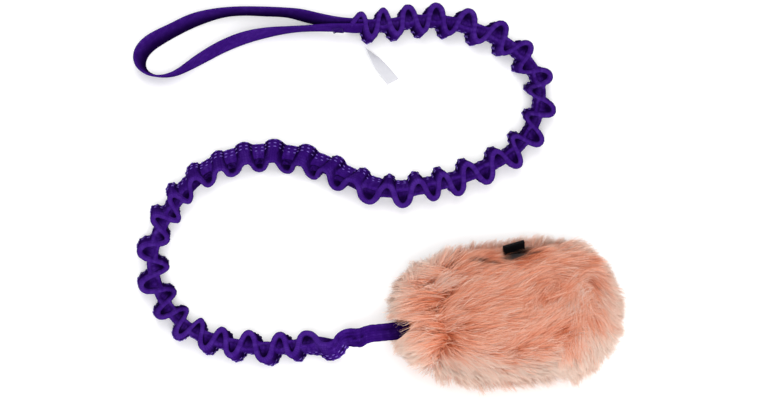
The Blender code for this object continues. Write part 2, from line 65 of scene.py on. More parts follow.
SLEEVE_ROUTE = [
    (357, 25), (382, 25.5), (407, 22.3), (433, 20.8), (461.5, 25.3), (492, 36),
    (517.5, 52.3), (535.7, 75.6), (539, 104.7), (528, 133.3), (510.6, 152.6),
    (481.8, 168.5), (453.6, 179.5), (430.2, 184.8), (402.4, 189.5), (378, 188),
    (355, 181), (338, 173.5), (320, 165.5), (304, 160.5), (273.6, 156), (245.8, 158),
    (219.6, 165.6), (196.9, 178.6), (179.8, 195.2), (166.3, 216), (153.3, 250.8),
    (155.2, 280), (168, 306.3), (188.4, 328), (211, 339), (236, 345.2),
    (268.3, 348), (295.3, 346.5), (328, 345),
]
HANDLE_ROUTE = [
    (351.3, 24.2, 12.5, -2), (342, 23.4, 12.0, -2), (330, 21.6, 10.5, -3),
    (316, 18.6, 9.0, -4), (304, 15.8, 8.2, -4), (288, 12.8, 7.6, 6),
    (268, 11.6, 7.4, 8), (246, 11.0, 7.4, 10), (224, 12.4, 7.4, 7),
    (205, 16.6, 7.3, -4), (188, 22.6, 7.1, -12), (172, 30.6, 7.0, -14),
    (157, 38.6, 6.9, -22), (146.5, 46.2, 6.8, -28), (140.2, 56.0, 6.6, -32),
    (140.6, 66.0, 6.6, -32), (148.0, 73.4, 6.6, -32), (160.0, 76.2, 6.6, -32),
    (174.0, 73.6, 6.8, -22), (190, 65.0, 7.3, -6), (205, 56.0, 7.4, 3),
    (222, 46.8, 7.4, 6), (244, 38.0, 7.4, 4), (268, 32.4, 7.4, -6),
    (290, 29.6, 7.4, -18), (308, 28.4, 8.2, -20), (324, 27.8, 10.0, -16),
    (340, 27.7, 12.0, -12), (351.3, 28.1, 12.5, -8),
]
STRAP_ROUTE = [(329.5, 345), (336, 343.6), (343, 340.6), (352, 338.6), (361, 337)]
LABEL_ROUTE = [
    (364.5, 46.6, 8.4, 62), (367.5, 51.5, 7.0, 64), (372.5, 57.0, 5.6, 68),
    (380.0, 65.5, 3.8, 74), (387.0, 74.0, 2.4, 80), (393.0, 81.6, 1.6, 84),
]

# Tops of the sleeve's waves, on its left side and on its right side in turn.
WAVES = [
    (359, 12), (369.4, 43.6), (380.6, 8.2), (394.5, 40.9), (406.4, 5.2), (420.3, 37.9),
    (432.4, 3), (446.1, 39.4), (464, 7.3), (475.2, 47.5), (498.5, 18.8), (498.9, 58.6),
    (525.5, 37.5), (515, 75), (551, 70), (523, 91.6), (556.8, 107.8), (520.4, 114.4),
    (545.5, 140.5), (506, 134.5), (522, 166.5), (490, 146), (487, 185.6), (461.3, 157.4),
    (457.2, 197.2), (438.1, 165.7), (434.8, 201.7), (414.9, 170.2), (401.6, 208.8),
    (390.6, 173), (369.2, 205.6), (362.4, 165.5), (336.7, 192.6), (337.5, 153.5),
    (315, 182), (306.1, 142.6), (287.7, 174.8), (274, 138), (259.6, 173), (243.6, 141),
    (233.6, 177.2), (214, 150.5), (214.5, 186), (187.4, 163.9), (193, 201.5),
    (166, 183.7), (183.7, 219.7), (148, 209.4), (173.2, 236.7), (134.5, 251),
    (170.9, 263), (136.4, 284.5), (177.4, 289), (153.5, 317), (188, 305.5), (177, 342.5),
    (201, 316), (209.1, 356.7), (224.4, 326.1), (234, 362.8), (251.6, 329.1),
    (267.6, 367), (286, 330.3), (293, 363.6), (305.7, 329.3), (327.2, 361.2), (348.8, 327.2),
]
# How the ribbon turns about its own length, and leans along it, by wave number.
TURNS = [
    (-1, -8, 10), (8, -9, 18), (12, -10, 20), (16, -11, 16), (19, -12, 4), (21, -13, -8),
    (25, -17, -10), (27, -23, -6), (29, -26, 4), (31, -42, 22), (33, -54, 24), (35, -64, 12),
    (37, -66, 3), (39, -64, -3), (41, -54, 8), (43, -40, 16), (45, -30, 20), (48, -14, 22),
    (51, -8, 20), (54, -10, 10), (57, -13, -12), (61, -13, -16), (63, -16, -14), (64, -24, -12),
    (65, -44, -6), (65.9, -70, 0), (70, -74, 0),
]


def sheet_to_room(u, v, z):
    c, s = math.cos(SHEET_SLANT), math.sin(SHEET_SLANT)
    a = (u - SHEET_MID[0]) * SHEET_STEP / SHEET_REACH
    b = (SHEET_MID[1] - v) * SHEET_STEP / SHEET_REACH
    line = np.array([a, c + b * s, -s + b * c])
    eye = -SHEET_REACH * np.array([0.0, c, -s])
    return eye + line * ((z - eye[2]) / line[2])


SHEET_SHIFT = sheet_to_room(*POUCH_ON_SHEET) * (1, 1, 0)


def room(u, v, z):
    return sheet_to_room(u, v, z) - SHEET_SHIFT


def smooth_line(points, count):
    """count points, evenly spaced along a natural cubic curve through points."""
    p = np.asarray(points, float)
    n = len(p)
    t = np.concatenate(([0.0], np.cumsum(np.linalg.norm(np.diff(p[:, :3], axis=0), axis=1))))
    h = np.diff(t)
    m = np.zeros((n, n))
    r = np.zeros((n, p.shape[1]))
    m[0, 0] = m[-1, -1] = 1.0
    for i in range(1, n - 1):
        m[i, i - 1 : i + 2] = h[i - 1], 2 * (h[i - 1] + h[i]), h[i]
        r[i] = 6 * ((p[i + 1] - p[i]) / h[i] - (p[i] - p[i - 1]) / h[i - 1])
    k = np.linalg.solve(m, r)

    def at(x):
        i = np.clip(np.searchsorted(t, x, side="right") - 1, 0, n - 2)
        d, e, w = (x - t[i])[:, None], (t[i + 1] - x)[:, None], h[i][:, None]
        return (
            (k[i] * e**3 + k[i + 1] * d**3) / (6 * w)
            + (p[i] / w - k[i] * w / 6) * e
            + (p[i + 1] / w - k[i + 1] * w / 6) * d
        )

    fine = at(np.linspace(0, t[-1], 4001))
    run = np.concatenate(([0.0], np.cumsum(np.linalg.norm(np.diff(fine[:, :3], axis=0), axis=1))))
    even = np.linspace(0, run[-1], count)
    return np.stack([np.interp(even, run, fine[:, j]) for j in range(p.shape[1])], axis=1)


def unit(v):
    v = np.asarray(v, float)
    return v / np.maximum(np.linalg.norm(v, axis=-1, keepdims=True), 1e-12)


def directions(line):
    return unit(np.gradient(line[:, :3], axis=0))


def smooth_step(x, a, b):
    t = np.clip((np.asarray(x, float) - a) / (b - a), 0, 1)
    return t * t * (3 - 2 * t)


def in_pouch(x, y, z):
    c, s = math.cos(POUCH_YAW), math.sin(POUCH_YAW)
    return np.array([x * c - y * s, x * s + y * c, z])


# --------------------------------------------------------------------- camera
EYE = -SHEET_REACH * np.array([0.0, math.cos(SHEET_SLANT), -math.sin(SHEET_SLANT)]) - SHEET_SHIFT
RIGHT = np.array([1.0, 0.0, 0.0])
UP = np.array([0.0, math.sin(SHEET_SLANT), math.cos(SHEET_SLANT)])
AHEAD = np.array([0.0, math.cos(SHEET_SLANT), -math.sin(SHEET_SLANT)])
TO_EYE = -AHEAD
camera_data = bpy.data.cameras.new("camera")
camera_data.lens = 85
camera_data.sensor_width = 36
camera_data.clip_start, camera_data.clip_end = 0.05, 20
camera = bpy.data.objects.new("camera", camera_data)
bpy.context.scene.collection.objects.link(camera)
camera.location = EYE
camera.rotation_euler = (math.radians(90) - SHEET_SLANT, 0, 0)
bpy.context.scene.camera = camera


def on_sheet(p):
    """u, v of points in the room, and how many millimetres one step of u is there."""
    rel = np.asarray(p, float) - EYE
    far = rel @ AHEAD
    k = SHEET_REACH / SHEET_STEP
    return np.stack([SHEET_MID[0] + (rel @ RIGHT) / far * k, SHEET_MID[1] - (rel @ UP) / far * k], axis=-1), far / k * 1000


# ---------------------------------------------------------------- node helpers
def material(name):
    m = bpy.data.materials.new(name)
    m.use_nodes = True
    return m, m.node_tree, m.node_tree.nodes["Principled BSDF"]


def node(tree, kind, **values):
    n = tree.nodes.new(kind)
    for key, value in values.items():
        if key in n.inputs.keys():
            n.inputs[key].default_value = value
        else:
            setattr(n, key, value)
    return n


def link(tree, a, b):
    tree.links.new(a, b)


def math_node(tree, operation, a, b=None, clamp=False):
    n = tree.nodes.new("ShaderNodeMath")
    n.operation = operation
    n.use_clamp = clamp
    for i, x in enumerate((a, b)):
        if x is None:
            continue
        if isinstance(x, (int, float)):
            n.inputs[i].default_value = x
        else:
            tree.links.new(x, n.inputs[i])
    return n.outputs[0]


def ramp(tree, value, stops):
    n = tree.nodes.new("ShaderNodeValToRGB")
    elements = n.color_ramp.elements
    while len(elements) < len(stops):
        elements.new(0.5)
    for e, (at, colour) in zip(elements, stops):
        e.position = at
        e.color = (*colour, 1.0)
    tree.links.new(value, n.inputs[0])
    return n.outputs[0]


def mix(tree, factor, a, b, blend_type="MIX"):
    n = tree.nodes.new("ShaderNodeMix")
    n.data_type = "RGBA"
    n.blend_type = blend_type
    for socket, x in ((n.inputs[0], factor), (n.inputs[6], a), (n.inputs[7], b)):
        if isinstance(x, (int, float)):
            socket.default_value = x
        elif isinstance(x, tuple):
            socket.default_value = (*x, 1.0)
        else:
            tree.links.new(x, socket)
    return n.outputs[2]


def noise(tree, scale, detail=3.0, vector=None, roughness=0.55):
    n = node(tree, "ShaderNodeTexNoise", Scale=scale, Detail=detail, Roughness=roughness)
    if vector is not None:
        tree.links.new(vector, n.inputs["Vector"])
    return n.outputs[0]


def room_coordinates(tree):
    return tree.nodes.new("ShaderNodeTexCoord").outputs["Object"]


def weave_coordinates(tree):
    n = tree.nodes.new("ShaderNodeUVMap")
    n.uv_map = "weave"
    parts = tree.nodes.new("ShaderNodeSeparateXYZ")
    tree.links.new(n.outputs[0], parts.inputs[0])
    return n.outputs[0], parts.outputs[0], parts.outputs[1]


def bump(tree, height, distance, strength=1.0, normal=None):
    n = node(tree, "ShaderNodeBump", Strength=strength, Distance=distance)
    tree.links.new(height, n.inputs["Height"])
    if normal is not None:
        tree.links.new(normal, n.inputs["Normal"])
    return n.outputs[0]


def sine(tree, value, turns_per_unit, phase=None):
    x = math_node(tree, "MULTIPLY", value, turns_per_unit * 2 * math.pi)
    if phase is not None:
        x = math_node(tree, "ADD", x, phase)
    return math_node(tree, "ADD", math_node(tree, "MULTIPLY", math_node(tree, "SINE", x), 0.5), 0.5)


# ------------------------------------------------------------------- materials
def webbing_material(name, dark, mid, light, rib=0.0011, pick=0.0013, edge=0.0):
    """Woven purple nylon. Its map is in millimetres: along the webbing, and across it from the middle."""
    m, tree, shader = material(name)
    _, along, across = weave_coordinates(tree)
    place = room_coordinates(tree)
    rows = math_node(tree, "FLOOR", math_node(tree, "DIVIDE", across, rib * 1000))
    shifted = math_node(tree, "MULTIPLY", rows, math.pi)
    ribs = sine(tree, across, 1 / (rib * 1000))
    picks = sine(tree, along, 1 / (pick * 1000), shifted)
    weave = math_node(tree, "ADD", math_node(tree, "MULTIPLY", ribs, 0.55), math_node(tree, "MULTIPLY", picks, 0.45))
    blotch = noise(tree, 260.0, 3.0, place)
    broad = noise(tree, 45.0, 2.0, place)
    tone = math_node(tree, "ADD", math_node(tree, "MULTIPLY", weave, 0.35), math_node(tree, "MULTIPLY", blotch, 0.4))
    tone = math_node(tree, "ADD", tone, math_node(tree, "MULTIPLY", broad, 0.3), clamp=True)
    colour = ramp(tree, tone, [(0.22, dark), (0.55, mid), (0.9, light)])
    # Painted highlight: past edge millimetres from the middle, the colour lightens towards the light colour on both
    # edges of the webbing.
    if edge:
        rim_highlight = math_node(tree, "ABSOLUTE", across)
        rim_highlight = math_node(tree, "MULTIPLY", math_node(tree, "SUBTRACT", rim_highlight, edge), 0.7, clamp=True)
        rim_highlight = math_node(tree, "MULTIPLY", rim_highlight, 0.15)
        colour = mix(tree, rim_highlight, colour, light)
    # Painted shade: the depth attribute darkens the colour towards a near-black purple in folds, hollows and on low or
    # back-facing sides.
    depth = tree.nodes.new("ShaderNodeAttribute")
    depth.attribute_name = "depth"
    shade_amount = math_node(tree, "ADD", math_node(tree, "MULTIPLY", depth.outputs["Fac"], 0.92), 0.08)
    colour = mix(tree, shade_amount, (0.0030, 0.0004, 0.014), colour)
    link(tree, colour, shader.inputs["Base Color"])
    link(tree, math_node(tree, "ADD", math_node(tree, "MULTIPLY", blotch, 0.16), 0.45), shader.inputs["Roughness"])
    shader.inputs["Specular IOR Level"].default_value = 0.0
    shader.inputs["Specular Tint"].default_value = (0.75, 0.6, 1.0, 1.0)
    soft = bump(tree, noise(tree, 700.0, 2.0, place), 0.00018, 0.35)
    link(tree, bump(tree, weave, 0.00016, 0.55, soft), shader.inputs["Normal"])
    return m


DARK = (0.0150, 0.0018, 0.078)
MID = (0.034, 0.0058, 0.150)
LIGHT = (0.080, 0.027, 0.268)
sleeve_look = webbing_material("sleeve_webbing", *(tuple(0.90 * c for c in shade) for shade in (DARK, MID, LIGHT)), edge=7.4)
webbing_look = webbing_material("purple_webbing", DARK, MID, LIGHT, rib=0.0009, pick=0.0012, edge=6.3)


def thread_material(name, colour, light, with_painted_shade=False):
    m, tree, shader = material(name)
    place = room_coordinates(tree)
    plain = mix(tree, noise(tree, 900.0, 2.0, place), colour, light)
    # Painted shade: the depth attribute darkens the thread towards a near-black purple.
    if with_painted_shade:
        depth = tree.nodes.new("ShaderNodeAttribute")
        depth.attribute_name = "depth"
        plain = mix(tree, depth.outputs["Fac"], (0.0040, 0.0008, 0.020), plain)
    link(tree, plain, shader.inputs["Base Color"])
    shader.inputs["Roughness"].default_value = 0.5
    shader.inputs["Specular IOR Level"].default_value = 0.03
    link(tree, bump(tree, noise(tree, 2600.0, 1.0, place), 0.00008, 0.6), shader.inputs["Normal"])
    return m


thread_look = thread_material("purple_thread", (0.085, 0.034, 0.31), (0.24, 0.15, 0.58), with_painted_shade=True)
dark_thread_look = thread_material("deep_purple_thread", (0.016, 0.003, 0.080), (0.032, 0.008, 0.14))


def label_material():
    m, tree, shader = material("label_satin")
    _, along, across = weave_coordinates(tree)
    fine = sine(tree, across, 2.2)
    place = room_coordinates(tree)
    broad = noise(tree, 120.0, 2.0, place)
    shade = math_node(tree, "ADD", math_node(tree, "MULTIPLY", broad, 0.6), math_node(tree, "MULTIPLY", fine, 0.15))
    link(tree, ramp(tree, shade, [(0.1, (0.56, 0.56, 0.60)), (0.75, (0.72, 0.72, 0.76))]), shader.inputs["Base Color"])
    shader.inputs["Roughness"].default_value = 0.36
    shader.inputs["Sheen Weight"].default_value = 0.3
    shader.inputs["Specular IOR Level"].default_value = 0.55
    link(tree, bump(tree, fine, 0.00006, 0.4), shader.inputs["Normal"])
    return m


label_look = label_material()


def cloth_material(name, dark, light, thread=0.0008, rough=0.75, depth=0.0001, shine=0.2):
    """Plain coated cloth or tape, by its place on the object."""
    m, tree, shader = material(name)
    place = room_coordinates(tree)
    parts = tree.nodes.new("ShaderNodeSeparateXYZ")
    link(tree, place, parts.inputs[0])
    weave = math_node(tree, "MULTIPLY", sine(tree, parts.outputs[0], 1 / thread), sine(tree, parts.outputs[1], 1 / thread))
    broad = noise(tree, 70.0, 3.0, place)
    tone = math_node(tree, "ADD", math_node(tree, "MULTIPLY", broad, 0.7), math_node(tree, "MULTIPLY", weave, 0.3))
    link(tree, mix(tree, tone, dark, light), shader.inputs["Base Color"])
    shader.inputs["Roughness"].default_value = rough
    shader.inputs["Specular IOR Level"].default_value = shine
    creases = bump(tree, noise(tree, 55.0, 3.0, place), 0.0012, 0.4)
    link(tree, bump(tree, weave, depth, 0.7, creases), shader.inputs["Normal"])
    return m


lining_look = cloth_material("lining_nylon", (0.020, 0.020, 0.022), (0.060, 0.060, 0.065), rough=0.5)
tab_look = cloth_material("tab_webbing", (0.0022, 0.0022, 0.0030), (0.0085, 0.0085, 0.0110), thread=0.0011, rough=0.45, shine=0.10)
hook_look = cloth_material("hook_tape", (0.006, 0.006, 0.007), (0.020, 0.020, 0.022), thread=0.0016, rough=0.5, depth=0.0006)
loop_look = cloth_material("loop_tape", (0.008, 0.008, 0.009), (0.030, 0.030, 0.033), thread=0.0005, rough=0.95, depth=0.0003)
elastic_look = cloth_material("elastic_rubber", (0.02, 0.018, 0.022), (0.07, 0.06, 0.075), thread=0.0009, rough=0.8)


def fur_material(name, attribute):
    """Pile: the tone attribute runs from the deep salmon near the root to the pale tip."""
    m, tree, shader = material(name)
    n = tree.nodes.new("ShaderNodeAttribute")
    n.attribute_name = attribute
    tone = n.outputs["Fac"]
    colour = ramp(tree, tone, [
        (0.00, (0.32, 0.048, 0.018)), (0.25, (0.59, 0.148, 0.063)), (0.50, (0.78, 0.300, 0.172)),
        (0.75, (0.84, 0.490, 0.365)), (1.00, (0.80, 0.640, 0.550)),
    ])
    # Painted shadow of the pull tab, with the black of the fastening between the locks: the dim attribute darkens the
    # pile to near black.
    dim = tree.nodes.new("ShaderNodeAttribute")
    dim.attribute_name = "dim"
    colour = mix(tree, dim.outputs["Fac"], colour, (0.012, 0.009, 0.010))
    link(tree, colour, shader.inputs["Base Color"])
    shader.inputs["Roughness"].default_value = 0.62
    shader.inputs["Specular IOR Level"].default_value = 0.12
    shader.inputs["Sheen Weight"].default_value = 0.05
    shader.inputs["Sheen Roughness"].default_value = 0.5
    shader.inputs["Sheen Tint"].default_value = (1.0, 0.85, 0.75, 1.0)
    return m


fur_look = fur_material("peach_pile", "tone")


def backing_material():
    m, tree, shader = material("fur_backing")
    place = room_coordinates(tree)
    tone = noise(tree, 420.0, 4.0, place)
    colour = ramp(tree, tone, [(0.3, (0.42, 0.12, 0.06)), (0.7, (0.74, 0.34, 0.2))])
    # Painted shadow of the pull tab, with the black of the fastening: the dim attribute darkens the backing to near
    # black.
    dim = tree.nodes.new("ShaderNodeAttribute")
    dim.attribute_name = "dim"
    link(tree, mix(tree, dim.outputs["Fac"], colour, (0.012, 0.009, 0.010)), shader.inputs["Base Color"])
    shader.inputs["Roughness"].default_value = 0.9
    link(tree, bump(tree, tone, 0.001, 0.8), shader.inputs["Normal"])
    return m


backing_look = backing_material()


# ------------------------------------------------------------------ mesh tools
def mesh_object(name, verts, faces, look, weave=None, smooth=True):
    """verts (n, 3), faces as one array of quads or a list. weave is a map position per vertex."""
    me = bpy.data.meshes.new(name)
    verts = np.asarray(verts, float)
    if isinstance(faces, np.ndarray):
        me.vertices.add(len(verts))
        me.vertices.foreach_set("co", verts.astype(np.float32).ravel())
        sides = faces.shape[1]
        me.loops.add(faces.size)
        me.loops.foreach_set("vertex_index", faces.astype(np.int32).ravel())
        me.polygons.add(len(faces))
        me.polygons.foreach_set("loop_start", np.arange(0, faces.size, sides, dtype=np.int32))
        me.update(calc_edges=True)
    else:
        me.from_pydata([tuple(v) for v in verts], [], faces)
    me.validate()
    if weave is not None:
        layer = me.uv_layers.new(name="weave")
        index = np.empty(len(me.loops), np.int32)
        me.loops.foreach_get("vertex_index", index)
        layer.data.foreach_set("uv", np.asarray(weave, np.float32)[index].ravel())
    if smooth:
        me.shade_smooth()
    ob = bpy.data.objects.new(name, me)
    bpy.context.scene.collection.objects.link(ob)
    me.materials.append(look)
    return ob


def paint_shade(ob, values):
    """Painted shade in the folds and on the side that lies down, kept as the depth attribute: 0 darkest, 1 plain."""
    tone = ob.data.attributes.new("depth", "FLOAT", "POINT")
    tone.data.foreach_set("value", np.asarray(values, np.float32))


def ring_faces(rings, around, closed_ends=True, start=0):
    """Faces of a skin over rings of around vertices each, as lists."""
    faces = []
    for i in range(rings - 1):
        a = start + i * around
        for k in range(around):
            j = (k + 1) % around
            faces.append((a + k, a + j, a + around + j, a + around + k))
    if closed_ends:
        faces.append(tuple(start + k for k in reversed(range(around))))
        faces.append(tuple(start + (rings - 1) * around + k for k in range(around)))
    return faces


class Solids:
    """Closed solids gathered into one mesh."""

    def __init__(self):
        self.verts, self.faces, self.count = [], [], 0

    def add(self, verts, faces):
        self.verts.append(np.asarray(verts, float).reshape(-1, 3))
        self.faces += [tuple(i + self.count for i in f) for f in faces]
        self.count += len(self.verts[-1])

    def rings(self, points):
        """points is (rings, around, 3)."""
        n, around = points.shape[:2]
        self.add(points.reshape(-1, 3), ring_faces(n, around))


# ---------------------------------------------------------------------- sleeve
whole = smooth_line([room(u, v, SLEEVE_R) for u, v in SLEEVE_ROUTE], 1121)
whole_dirs = directions(whole)
LENGTH = float(np.linalg.norm(np.diff(whole, axis=0), axis=1).sum())
swing = in_pouch(SWING_X, STRAP_Y, SEAM_Z)
heading = in_pouch(1.0, 0.0, 0.0)
keys = [whole[-1], whole[-1] + whole_dirs[-1] * 0.0045]
for u, v in STRAP_ROUTE[2:]:
    f = (u - STRAP_ROUTE[0][0]) / (374.0 - STRAP_ROUTE[0][0])
    keys.append(room(u, v, SLEEVE_R + (SEAM_Z - SLEEVE_R) * (f * f * (3 - 2 * f))))
keys += [swing - heading * 0.0035, swing, swing + heading * 0.008, swing + heading * 0.0265]
strap_line = smooth_line(keys, 90)
before = whole[0] - whole_dirs[0] * np.linspace(0.009, 0.0006, 15)[:, None]
spine = np.concatenate([before, whole, strap_line[1:]])
reach = np.concatenate(([0.0], np.cumsum(np.linalg.norm(np.diff(spine, axis=0), axis=1))))
reach -= reach[15]
even = np.arange(reach[0], reach[-1], 0.0005)
spine = np.stack([np.interp(even, reach, spine[:, j]) for j in range(3)], axis=1)
for _ in range(30):
    spine[1:-1] = spine[1:-1] * 0.5 + (spine[:-2] + spine[2:]) * 0.25
reach = even
ALL_LENGTH = reach[-1]

# Where each wave's top is along the sleeve, and how far out.
spine_uv, spine_mm = on_sheet(spine)
wave_at, wave_out, turn_at = [], [], []
last = -0.004
for k, point in enumerate(WAVES):
    near = (reach > last + 0.0035) & (reach < last + 0.0300)
    index = np.where(near)[0]
    gap = np.linalg.norm(spine_uv[index] - point, axis=1)
    best = index[np.argmin(gap)]
    wave_at.append(reach[best])
    wave_out.append(gap.min() * spine_mm[best])
    last = reach[best]
wave_at, wave_out = np.array(wave_at), np.array(wave_out)
for _ in range(2):  # even out spacings that differ too much from their neighbours
    wave_at[1:-1] += 0.25 * ((wave_at[:-2] + wave_at[2:]) / 2 - wave_at[1:-1])

turn_keys = np.array(TURNS, float)
order = np.concatenate(([-1.0], np.arange(len(WAVES)), [len(WAVES) + 3.0]))
order_at = np.concatenate(([-0.009], wave_at, [ALL_LENGTH]))
turn_s = np.interp(turn_keys[:, 0], order, order_at)
turn = np.radians(np.interp(reach, turn_s, turn_keys[:, 1]))
lean = np.radians(np.interp(reach, turn_s, turn_keys[:, 2]))
kernel = np.hanning(41) / np.hanning(41).sum()
turn = np.convolve(np.pad(turn, 20, mode="edge"), kernel, mode="valid")
lean = np.convolve(np.pad(lean, 20, mode="edge"), kernel, mode="valid")

HALF_W, HALF_T = 0.0090, 0.00165  # the flat sleeve's half width and half thickness
wave_turn = np.interp(wave_at, reach, turn)
wave_height = (wave_out / 1000 - np.abs(np.sin(wave_turn)) * HALF_W) / np.cos(wave_turn) - HALF_T
wave_height = np.clip(wave_height, 0.0055, 0.0108)

# Axes along the spine: t along it, n out of the ribbon's face, b along its width.
tangent = directions(spine)
side = unit(np.cross(TO_EYE, tangent))
toward = np.cross(tangent, side)
face_n = side * np.cos(turn)[:, None] + toward * np.sin(turn)[:, None]
face_b = toward * np.cos(turn)[:, None] - side * np.sin(turn)[:, None]
shear = (tangent @ TO_EYE) / (toward @ TO_EYE) * np.cos(turn) + np.tan(lean)
# The strap lies flat where it meets the pouch.
flat = smooth_step(reach, LENGTH + 0.010, LENGTH + 0.034)
width_flat = in_pouch(0.0, 1.0, 0.0)
face_b = unit(face_b * (1 - flat)[:, None] + width_flat * flat[:, None])
face_b = unit(face_b - tangent * np.sum(face_b * tangent, axis=1)[:, None])
face_n = np.cross(face_b, tangent)
shear = shear * (1 - smooth_step(reach, LENGTH, LENGTH + 0.02))
lean_b = unit(face_b + tangent * shear[:, None])

# Each stretch sinks, along the line of sight, until its lowest edge is on the floor.
low = spine[:, 2] - np.abs(face_n[:, 2]) * 0.0100 - np.abs(lean_b[:, 2]) * HALF_W
low = np.where(reach > LENGTH + 0.004, 0.0, low)
wide = np.hanning(121) / np.hanning(121).sum()
low = np.convolve(np.pad(low, 60, mode="edge"), wide, mode="valid")
low *= 1 - smooth_step(reach, LENGTH - 0.02, LENGTH + 0.004)
sight = unit(spine - EYE)
spine = spine + sight * (low / -sight[:, 2])[:, None]


def at_s(s, *arrays):
    s = np.clip(s, reach[0], reach[-1])
    return [np.stack([np.interp(s, reach, a[:, j]) for j in range(3)], axis=1) for a in arrays]


def place(s, n, b, straight=False):
    """Points from the distance along, the height over the ribbon's face and the place across."""
    s, n, b = np.broadcast_arrays(np.asarray(s, float), n, b)
    shape = s.shape
    c, fn, fb = at_s(s.ravel(), spine, face_n, face_b if straight else lean_b)
    return (c + unit(fn) * n.reshape(-1, 1) + unit(fb) * b.reshape(-1, 1)).reshape(*shape, 3)


# The ribbon's wave, in (distance, height): round tops joined by steep flanks.
bend = math.radians(70)
q = np.linspace(0, 1, 241)
qm = (q[1:] + q[:-1]) / 2
tx = np.concatenate(([0], np.cumsum(np.cos(bend * np.sin(np.pi * qm)))))
ty = np.concatenate(([0], np.cumsum(np.sin(bend * np.sin(np.pi * qm)))))
tx, ty = tx / tx[-1], 1 - 2 * ty / ty[-1]
path_s, path_n = [], []
nodes_s = [-0.0060, *wave_at, wave_at[-1] + 0.0140]
nodes_n = [-0.0016, *[h if k % 2 == 0 else -h for k, h in enumerate(wave_height)], 0.0]
nodes_n[-2] = 0.0030
for k in range(len(nodes_s) - 1):
    a, b = nodes_n[k], nodes_n[k + 1]
    steps = 30
    f = np.linspace(0, 1, steps + 1)[:-1]
    if k in (0, len(nodes_s) - 2):
        x, y = f, 1 - 2 * smooth_step(f, 0, 1)
    else:
        x, y = np.interp(f, q, tx), np.interp(f, q, ty)
    path_s.append(nodes_s[k] + (nodes_s[k + 1] - nodes_s[k]) * x)
    path_n.append((a + b) / 2 + (a - b) / 2 * y)
tail = np.arange(nodes_s[-1], ALL_LENGTH, 0.0008)
path_s = np.concatenate([*path_s, tail])
path_n = np.concatenate([*path_n, np.zeros(len(tail))])
step_s, step_n = np.gradient(path_s), np.gradient(path_n)
size = np.hypot(step_s, step_n)
out_s, out_n = -step_n / size, step_s / size  # across the ribbon's thickness
along = np.concatenate(([0.0], np.cumsum(np.hypot(np.diff(path_s), np.diff(path_n)))))

# Widths: the ribbon narrows to the strap.
half_w = HALF_W + (0.0064 - HALF_W) * smooth_step(path_s, LENGTH - 0.002, LENGTH + 0.014)
half_t = HALF_T + (0.0009 - HALF_T) * smooth_step(path_s, LENGTH - 0.002, LENGTH + 0.014)
profile = [(-1, 0), (-0.965, 0.72), (-0.88, 1.0), (-0.66, 1.0), (-0.33, 0.97), (0, 0.97), (0.33, 1.03), (0.62, 1.16), (0.80, 1.22), (0.92, 1.02), (0.98, 0.60), (1, 0)]
profile += [(b, -t) for b, t in reversed(profile[1:-1])]
ribbon = np.zeros((len(path_s), len(profile), 3))
for j, (b, t) in enumerate(profile):
    ribbon[:, j] = place(path_s + out_s * half_t * t, path_n + out_n * half_t * t, half_w * b)
solids = Solids()
solids.rings(ribbon)

# The layer that lies tight over the elastic.
CASE_LOW, CASE_HIGH, CASE_T = -0.0084, 0.0016, 0.0022
RAIL_N, RAIL_T, RAIL_TOP = 0.0020, 0.0015, 0.0081
case_s = np.arange(-0.0035, LENGTH + 0.004, 0.0010)
case_t = CASE_T * (1 - 0.45 * smooth_step(case_s, LENGTH - 0.006, LENGTH + 0.004))
ring = []
for k in range(16):
    a = 2 * math.pi * k / 16
    c, s = math.cos(a), math.sin(a)
    b = (CASE_LOW + CASE_HIGH) / 2 + (CASE_HIGH - CASE_LOW) / 2 * math.copysign(abs(c) ** 0.7, c)
    ring.append(place(case_s, case_t * math.copysign(abs(s) ** 0.7, s), b, straight=True))
solids.rings(np.stack(ring, axis=1))

# Between waves of one side, the sleeve's other layer runs straight on.
for k in range(1, len(nodes_s) - 2):
    level = math.copysign(RAIL_N, -nodes_n[k])
    if abs(nodes_n[k - 1]) < RAIL_N or abs(nodes_n[k + 1]) < RAIL_N:
        continue
    span = []
    for j in (k - 1, k):
        i = slice(j * 30, j * 30 + 31)
        up_down = np.argsort(path_n[i])
        span.append(np.interp(level, path_n[i][up_down], path_s[i][up_down]))
    f = np.linspace(0, 1, 14)
    s = span[0] - 0.0002 + (span[1] - span[0] + 0.0004) * f
    n = level * (1 + 0.10 * np.sin(np.pi * f))
    top = RAIL_TOP - 0.0009 * np.sin(np.pi * f) - 0.0042 * smooth_step(np.abs(np.interp(s, reach, turn)), 0.5, 0.95)
    edge = ((-1, 0, 0), (1, 0, 0), (1, 0.6, 0), (0.9, 1, -0.0013), (0.4, 1, -0.0002), (-0.4, 1, -0.0002), (-1, 1, -0.0013))
    thin = np.interp(s, (LENGTH - 0.002, LENGTH + 0.014), (1, 0.70))
    rail = [place(s, n + RAIL_T * t, ((-0.0083 * (1 - u) + top * u) + d) * thin) for t, u, d in edge]
    solids.rings(np.stack(rail, axis=1))

# The seam that closes each wave on the elastic, along the sewn edge.
zero = [nodes_s[0]] + [(nodes_s[k] + nodes_s[k + 1]) / 2 for k in range(1, len(nodes_s) - 1)]
for k in range(len(zero) - 1):
    inside = np.where((path_s > zero[k] - 0.004) & (path_s < zero[k + 1] + 0.004) & (path_n * nodes_n[k + 1] > 0) & (along > np.interp(zero[k], path_s[::30], along[::30]) - 0.02))[0]
    if len(inside) < 6:
        continue
    inside = inside[::2]
    s0, n0 = path_s[inside], path_n[inside]
    base = np.linspace(zero[k], zero[k + 1], len(inside))
    thin = (half_w / HALF_W)[inside]
    loops_ = [place(s0, n0, -0.0083 * thin), place(s0, n0, 0.0064 * thin), place((s0 + base) / 2, n0 / 2, 0.0040 * thin), place(base, n0 * 0, 0.0058 * thin), place(base, n0 * 0, -0.0083 * thin)]
    solids.rings(np.stack(loops_, axis=1))

